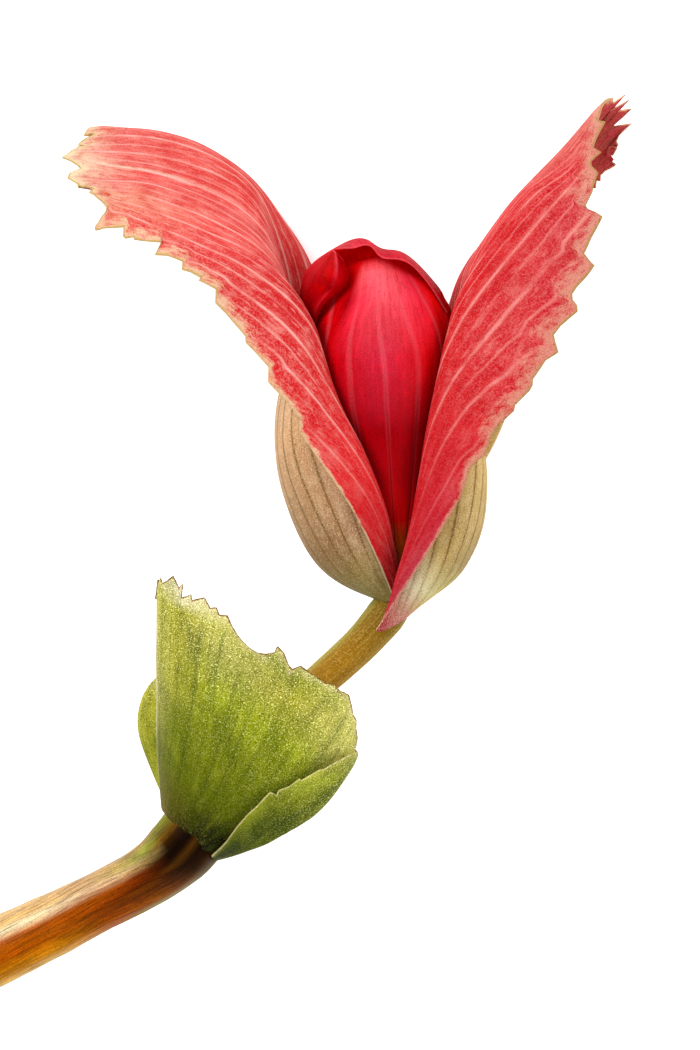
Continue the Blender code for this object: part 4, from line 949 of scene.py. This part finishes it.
# The bract's lining, which shows on its folded-over lapel past 1: dark in the lapel's roll (1.1)
# and light at its edge (1.2), painted shade and light of the roll.
BRACT_LINING = {
    0.0: {0.0: "umber", 0.4: "light_leaf", 1.0: "straw"},
    1.0: {0.0: "umber", 0.2: "deep_leaf", 1.0: "olive"},
    1.1: {0.0: "black_green", 0.4: "forest", 0.8: "deep_leaf", 1.0: "light_leaf"},
    1.15: {0.0: "black_green", 0.2: "forest", 0.5: "leaf", 0.8: "light_leaf", 1.0: "khaki"},
    1.2: {0.0: "moss", 0.2: "leaf", 0.6: "lime", 1.0: "straw"},
}
BACK_FACE = {
    0.0: {0.0: "moss", 0.2: "light_leaf", 1.0: "dull_straw"},
    0.35: {0.0: "moss", 0.2: "straw", 1.0: "straw"},
    1.0: {0.0: "umber", 0.4: "light_leaf", 1.0: "khaki"},
}

# Ramps along a stalk: for each line along it, at its turn from its right over its top to its left
# and its underside, the tint at shares of its length. On the stem they paint light and shade into
# its skin: a painted highlight band at turn 0.33 (gleam), edges lighter partly by painted rim
# light, a darker underside, and painted shade that darkens it towards its head under the bracts.
STEM_TINTS_AND_LIGHT = {
    0.0: {0.35: "light_tan", 0.55: "amber_brown", 0.7: "olive", 0.88: "umber"},
    0.1: {0.35: "ochre", 0.55: "rust", 0.72: "tawny", 0.88: "dark_brown"},
    0.2: {0.0: "rust", 0.35: "rust", 0.53: "chestnut", 0.7: "dark_umber", 0.85: "black_brown"},
    0.28: {0.35: "rust", 0.53: "rust", 0.7: "chestnut", 0.86: "black_brown"},
    0.33: {0.35: "gleam", 0.55: "light_beige", 0.8: "drab", 0.88: "dark_brown"},
    0.37: {0.35: "tan", 0.53: "buff", 0.8: "olive", 0.88: "umber"},
    0.45: {0.35: "sand", 0.53: "buff", 0.8: "drab", 0.9: "olive"},
    0.75: {0.35: "tawny", 0.88: "dark_brown"},
}
# On the flower stalk the ramps paint light and shade too: lighter on its right edge and upper left
# with painted light, darker between and underneath with painted shade, and darker at its head with
# painted shade where it meets the flower.
STALK_TINTS_AND_LIGHT = {
    0.0: {0.0: "brass", 0.7: "brass", 1.0: "moss"},
    0.15: {0.0: "bronze", 0.7: "bronze", 1.0: "umber"},
    0.35: {0.0: "brass", 0.7: "bronze", 1.0: "umber"},
    0.45: {0.0: "brass", 0.7: "khaki", 1.0: "moss"},
    0.75: {0.0: "bronze", 1.0: "umber"},
}

# Petal tissue, thin and full of water: long cells in rows along the veins break its surface, so
# it is satin, glows where light comes through, and turns pale and dry at its margin.
CORAL = dict(
    streak=(0.4, 4.0), streak_depth=0.42, fine_depth=0.5, blotch=2.6, blotch_depth=0.35,
    marble=0.6, marble_reach=8.0, marble_depth=0.3, grain=0.17, sparkle=0.3, gleam=0.0,
    pit="#E08088", pits=0.6, deep="#D00818", pale="#F6AA9E", blend="MIX", vein="#FCC0B6",
    vein_width=0.09, vein_depth=0.85, flank="#F07C72", flank_width=0.25, flank_depth=0.35,
    broken=0.2, core=(8.0, 26.0), rise=(8.0, 34.0), dry="#ECDAB0", fade=2.0, dry_depth=0.7,
    rim="#C0A850", rim_width=0.2, rim_depth=0.8, bump=0.06, rough=0.55, gloss=0.03, glow=0.25,
    minor_depth=0.5, spark="#F4A094")
CORAL_RIGHT = dict(
    CORAL, deep="#B40412", pale="#DC7470", vein="#E8908A", flank="#D8605C", streak=(0.6, 5.0),
    streak_depth=0.5, marble_depth=0.4, marble_reach=14.0, pit="#C86068", dry="#D4A088", fade=3.0,
    dry_depth=0.65, rim="#A89048", glow=0.15, spark="#DC8478", pits=0.75, sparkle=0.4)
# The tepals' outside: a waxy beige skin of small cells over brown veins, which lets less light
# through than the red inside.
CUP_SKIN = dict(
    streak=(0.5, 2.0), streak_depth=0.15, fine_depth=0.15, blotch=2.4, blotch_depth=0.15,
    marble=0.9, marble_reach=6.0, marble_depth=0.1, grain=0.17, sparkle=0.35, gleam=0.2,
    pit="#806040", pits=0.45, deep="#8A6A40", pale="#F0DCB4", blend="MIX", vein="#6C4824",
    vein_width=0.12, vein_depth=0.8, flank="#8C6C34", flank_width=0.3, flank_depth=0.3,
    broken=0.75, core=(3.0, 9.0), rise=(56.0, 44.0), dry="#E8CCA0", fade=1.0, dry_depth=0.6,
    rim="#D8B070", rim_width=0.15, rim_depth=0.5, bump=0.06, rough=0.55, gloss=0.04, glow=0.08,
    minor_depth=0.5, spark="#F0DCB4")
# The bud's petals: deep crimson, and smoother than the tepals. Each vein is a fine dark line
# between two lighter bands.
CRIMSON = dict(
    streak=(0.5, 6.0), streak_depth=0.3, fine_depth=0.4, blotch=3.0, blotch_depth=0.25, marble=0.5,
    marble_reach=30.0, marble_depth=0.2, grain=0.16, sparkle=0.5, gleam=0.0, pit="#C08088",
    pits=0.5, deep="#B00010", pale="#FFB8C0", blend="OVERLAY", vein="#800008", vein_width=0.06,
    vein_depth=1.0, flank="#F06874", flank_width=0.13, flank_depth=0.36, broken=0.5,
    core=(29.0, 19.0), rise=(15.0, 32.0), dry="#F83C50", fade=0.3, dry_depth=0.0, rim="#F86878",
    rim_width=0.14, rim_depth=0.1, bump=0.03, rough=0.42, gloss=0.02, glow=0.12, minor_depth=0.0,
    spark="#FFB8C0")
CRIMSON_THIN = dict(
    CRIMSON, flank_depth=0.1, vein_depth=0.1, sparkle=0.3, glow=0.55, rim_depth=0.7)
# Bract tissue: leafy and green, with coarse cells between its ribs that carry painted glints, and
# brown dry edges.
LEAFY = dict(
    streak=(0.9, 6.0), streak_depth=0.3, fine_depth=0.12, blotch=2.6, blotch_depth=0.3, marble=0.5,
    marble_reach=60.0, marble_depth=0.12, grain=0.15, sparkle=0.5, gleam=0.9, pit="#60702C",
    pits=0.8, deep="#3C4800", pale="#B0B430", blend="MIX", vein="#3A4A00", vein_width=0.12,
    vein_depth=0.36, flank="#505C04", flank_width=0.4, flank_depth=0.2, broken=0.3,
    core=(-200.0, -100.0), rise=(4.0, 24.0), dry="#D8C890", fade=1.4, dry_depth=0.5, rim="#7A4A14",
    rim_width=0.2, rim_depth=0.9, bump=0.09, rough=0.5, gloss=0.025, glow=0.12, minor_depth=0.3,
    spark="#E4E4A4")
# Stem skin: firm and waxy, brown where it has hardened, with fine dark and light fibres.
BARK = dict(
    streak=(0.3, 7.0), streak_depth=0.45, fine_depth=0.5, blotch=2.6, blotch_depth=0.15,
    marble=0.6, marble_reach=0.1, marble_depth=0.0, grain=0.2, sparkle=0.05, gleam=0.3,
    pit="#806040", pits=0.4, deep="#200A00", pale="#FFECC8", blend="OVERLAY", vein="#401400",
    vein_width=0.1, vein_depth=0.25, flank="#C88020", flank_width=0.3, flank_depth=0.1, broken=0.2,
    core=(-200.0, -100.0), rise=(-200.0, -100.0), dry="#C8A050", fade=0.1, dry_depth=0.0,
    rim="#8A5A1C", rim_width=0.1, rim_depth=0.0, bump=0.05, rough=0.35, gloss=0.03, glow=0.0,
    minor_depth=0.15, spark="#FFECC8")
# The flower stalk has the same skin, but younger: olive, duller and with softer fibres.
STALK_SKIN = dict(
    BARK, deep="#6C4A04", pale="#C4A050", vein="#6C4A08", flank="#A88838", streak_depth=0.25,
    fine_depth=0.2, sparkle=0.15, rough=0.45, blend="MIX", spark="#E8D090")
# Cut fibres of the stem's end: matt and pitted.
CUT = dict(
    BARK, deep="#8A6A30", pale="#D8C080", vein="#B09050", streak=(0.4, 0.4), rough=0.7,
    blend="MIX")
# Anthers full of pollen: powdery, matt and yellow.
POLLEN = dict(
    BARK, deep="#C08A20", pale="#F4E08A", vein="#D8A838", rough=0.7, blend="MIX")


def build():
    """Every tissue and every piece of the flower."""
    coral = tissue("tepal_coral_inside_satin", CORAL)
    coral_right = tissue("tepal_red_inside_satin", CORAL_RIGHT)
    cup = tissue("tepal_beige_outside_waxy", CUP_SKIN)
    crimson = tissue("petal_crimson_velvet", CRIMSON)
    thin = tissue("petal_crimson_thin_velvet", CRIMSON_THIN)
    leafy = tissue("bract_green_grainy", LEAFY)
    bark = tissue("stem_brown_waxy_skin", BARK)
    stalk = tissue("stalk_olive_waxy_skin", STALK_SKIN)
    cut = tissue("stem_cut_fibres_matt", CUT)
    pollen = tissue("anther_yellow_matt", POLLEN)

    add_sheet("tepal_left", "outer_tepal_left", OUTER_LEFT, OUTER_STATIONS,
              GRIDS["tepal"], LEFT_MARGINS, TEPAL_WALL, (cup, coral),
              (LEFT_OUTSIDE, LEFT_INSIDE), LEFT_VEINS)
    add_sheet("tepal_right", "outer_tepal_right", OUTER_RIGHT, OUTER_STATIONS,
              GRIDS["tepal"], RIGHT_MARGINS, TEPAL_WALL, (coral_right, cup),
              (RIGHT_INSIDE, RIGHT_OUTSIDE), RIGHT_VEINS)
    add_sheet("petal_front", "inner_tepal_front", INNER_FRONT, PETAL_STATIONS,
              GRIDS["front"], {}, PETAL_WALL, (crimson, crimson),
              (CRIMSON_INSIDE, FRONT_OUTSIDE), PETAL_VEINS)
    add_sheet("petal_hood", "inner_tepal_back", INNER_BACK, HOOD_STATIONS,
              GRIDS["hood"], {}, PETAL_WALL, (thin, thin),
              (HOOD_OUTSIDE, CRIMSON_INSIDE), PETAL_VEINS)
    for side, guides in (("left", INNER_LEFT), ("right", INNER_RIGHT)):
        add_sheet("petal_" + side, "inner_tepal_" + side, guides, PETAL_STATIONS,
                  GRIDS["side"], {}, PETAL_WALL, (thin, thin),
                  (CRIMSON_INSIDE, CRIMSON_INSIDE), PETAL_VEINS)
    add_sheet("scale_front", "bract_front", BRACT_FRONT, BRACT_STATIONS,
              GRIDS["bract_front"], BRACT_MARGINS, BRACT_WALL, (leafy, leafy),
              (BRACT_LINING, BRACT_FACE), BRACT_VEINS)
    add_sheet("scale_back", "bract_back", BRACT_BACK, BRACT_STATIONS,
              GRIDS["bract_back"], BACK_MARGINS, BRACT_WALL, (leafy, leafy),
              (BACK_FACE, BACK_FACE), BRACT_VEINS)
    add_stalk("stem", "main_stem", "stem", STEM_ROUTE, (bark, cut), STEM_TINTS_AND_LIGHT, **STEM_FORM)
    add_stalk("flower_stalk", "pedicel", "pedicel", STALK_ROUTE, (stalk,), STALK_TINTS_AND_LIGHT,
              **STALK_FORM)
    add_stamens("stamen_cluster", "stamens", (pollen,))


# The table, the room and the lamps, in metres and watts, and a long lens straight above them.
TABLE_REACH = 1.6
TABLE_GLOW = 0.55
ROOM_STRENGTH = 0.55
LIT_POINT = (0.0, 0.0, 0.01)
SOFTBOXES = [("key_softbox", (-0.5, 0.45, 0.75), 0.5, 9.0),
             ("fill_softbox", (0.65, -0.1, 0.5), 0.6, 3.0)]
LENS, SENSOR = 500.0, 36.0
VIEW_HEIGHT = 1.75
CLIP_END = 20.0
# The middle of the view, in millimetres from the receptacle.
VIEW_MIDDLE = (-5.68, 8.04, 0.0)


def lay_floor():
    """A smooth matt white table that glows a little itself, so that shadows on it stay faint."""
    mesh = bpy.data.meshes.new("table")
    reach = TABLE_REACH
    corners = [(-reach, -reach, 0), (reach, -reach, 0), (reach, reach, 0), (-reach, reach, 0)]
    mesh.from_pydata(corners, [], [(0, 1, 2, 3)])
    floor = bpy.data.objects.new("table", mesh)
    bpy.context.scene.collection.objects.link(floor)
    material = bpy.data.materials.new("table_white_matt")
    material.use_nodes = True
    shader = material.node_tree.nodes["Principled BSDF"]
    shader.inputs["Base Color"].default_value = paint("#F4F4F4")
    shader.inputs["Roughness"].default_value = 0.9
    shader.inputs["Emission Color"].default_value = paint("#FFFFFF")
    shader.inputs["Emission Strength"].default_value = TABLE_GLOW
    mesh.materials.append(material)


def light(name, place, aim, size, power):
    """A round softbox that faces a point."""
    lamp = bpy.data.lights.new(name, "AREA")
    lamp.shape = "DISK"
    lamp.size = size
    lamp.energy = power
    item = bpy.data.objects.new(name, lamp)
    item.location = place
    way = np.array(place) - np.array(aim)
    item.rotation_euler = (math.acos(way[2] / np.linalg.norm(way)), 0.0,
                           math.atan2(way[1], way[0]) + math.pi / 2)
    bpy.context.scene.collection.objects.link(item)


def studio():
    """The room's even light, the two softboxes and the camera."""
    world = bpy.data.worlds.new("soft_white_room")
    world.use_nodes = True
    background = world.node_tree.nodes["Background"]
    background.inputs["Color"].default_value = paint("#FFFFFF")
    background.inputs["Strength"].default_value = ROOM_STRENGTH
    bpy.context.scene.world = world
    bpy.context.scene.view_settings.view_transform = "Standard"
    for name, place, size, power in SOFTBOXES:
        light(name, place, LIT_POINT, size, power)

    camera_data = bpy.data.cameras.new("camera")
    camera_data.lens = LENS
    camera_data.sensor_width = SENSOR
    camera_data.clip_end = CLIP_END
    camera = bpy.data.objects.new("camera", camera_data)
    middle = (RECEPTACLE + VIEW_MIDDLE) * MM
    camera.location = (middle[0], middle[1], middle[2] + VIEW_HEIGHT)
    bpy.context.scene.collection.objects.link(camera)
    bpy.context.scene.camera = camera


build()
lay_floor()
studio()
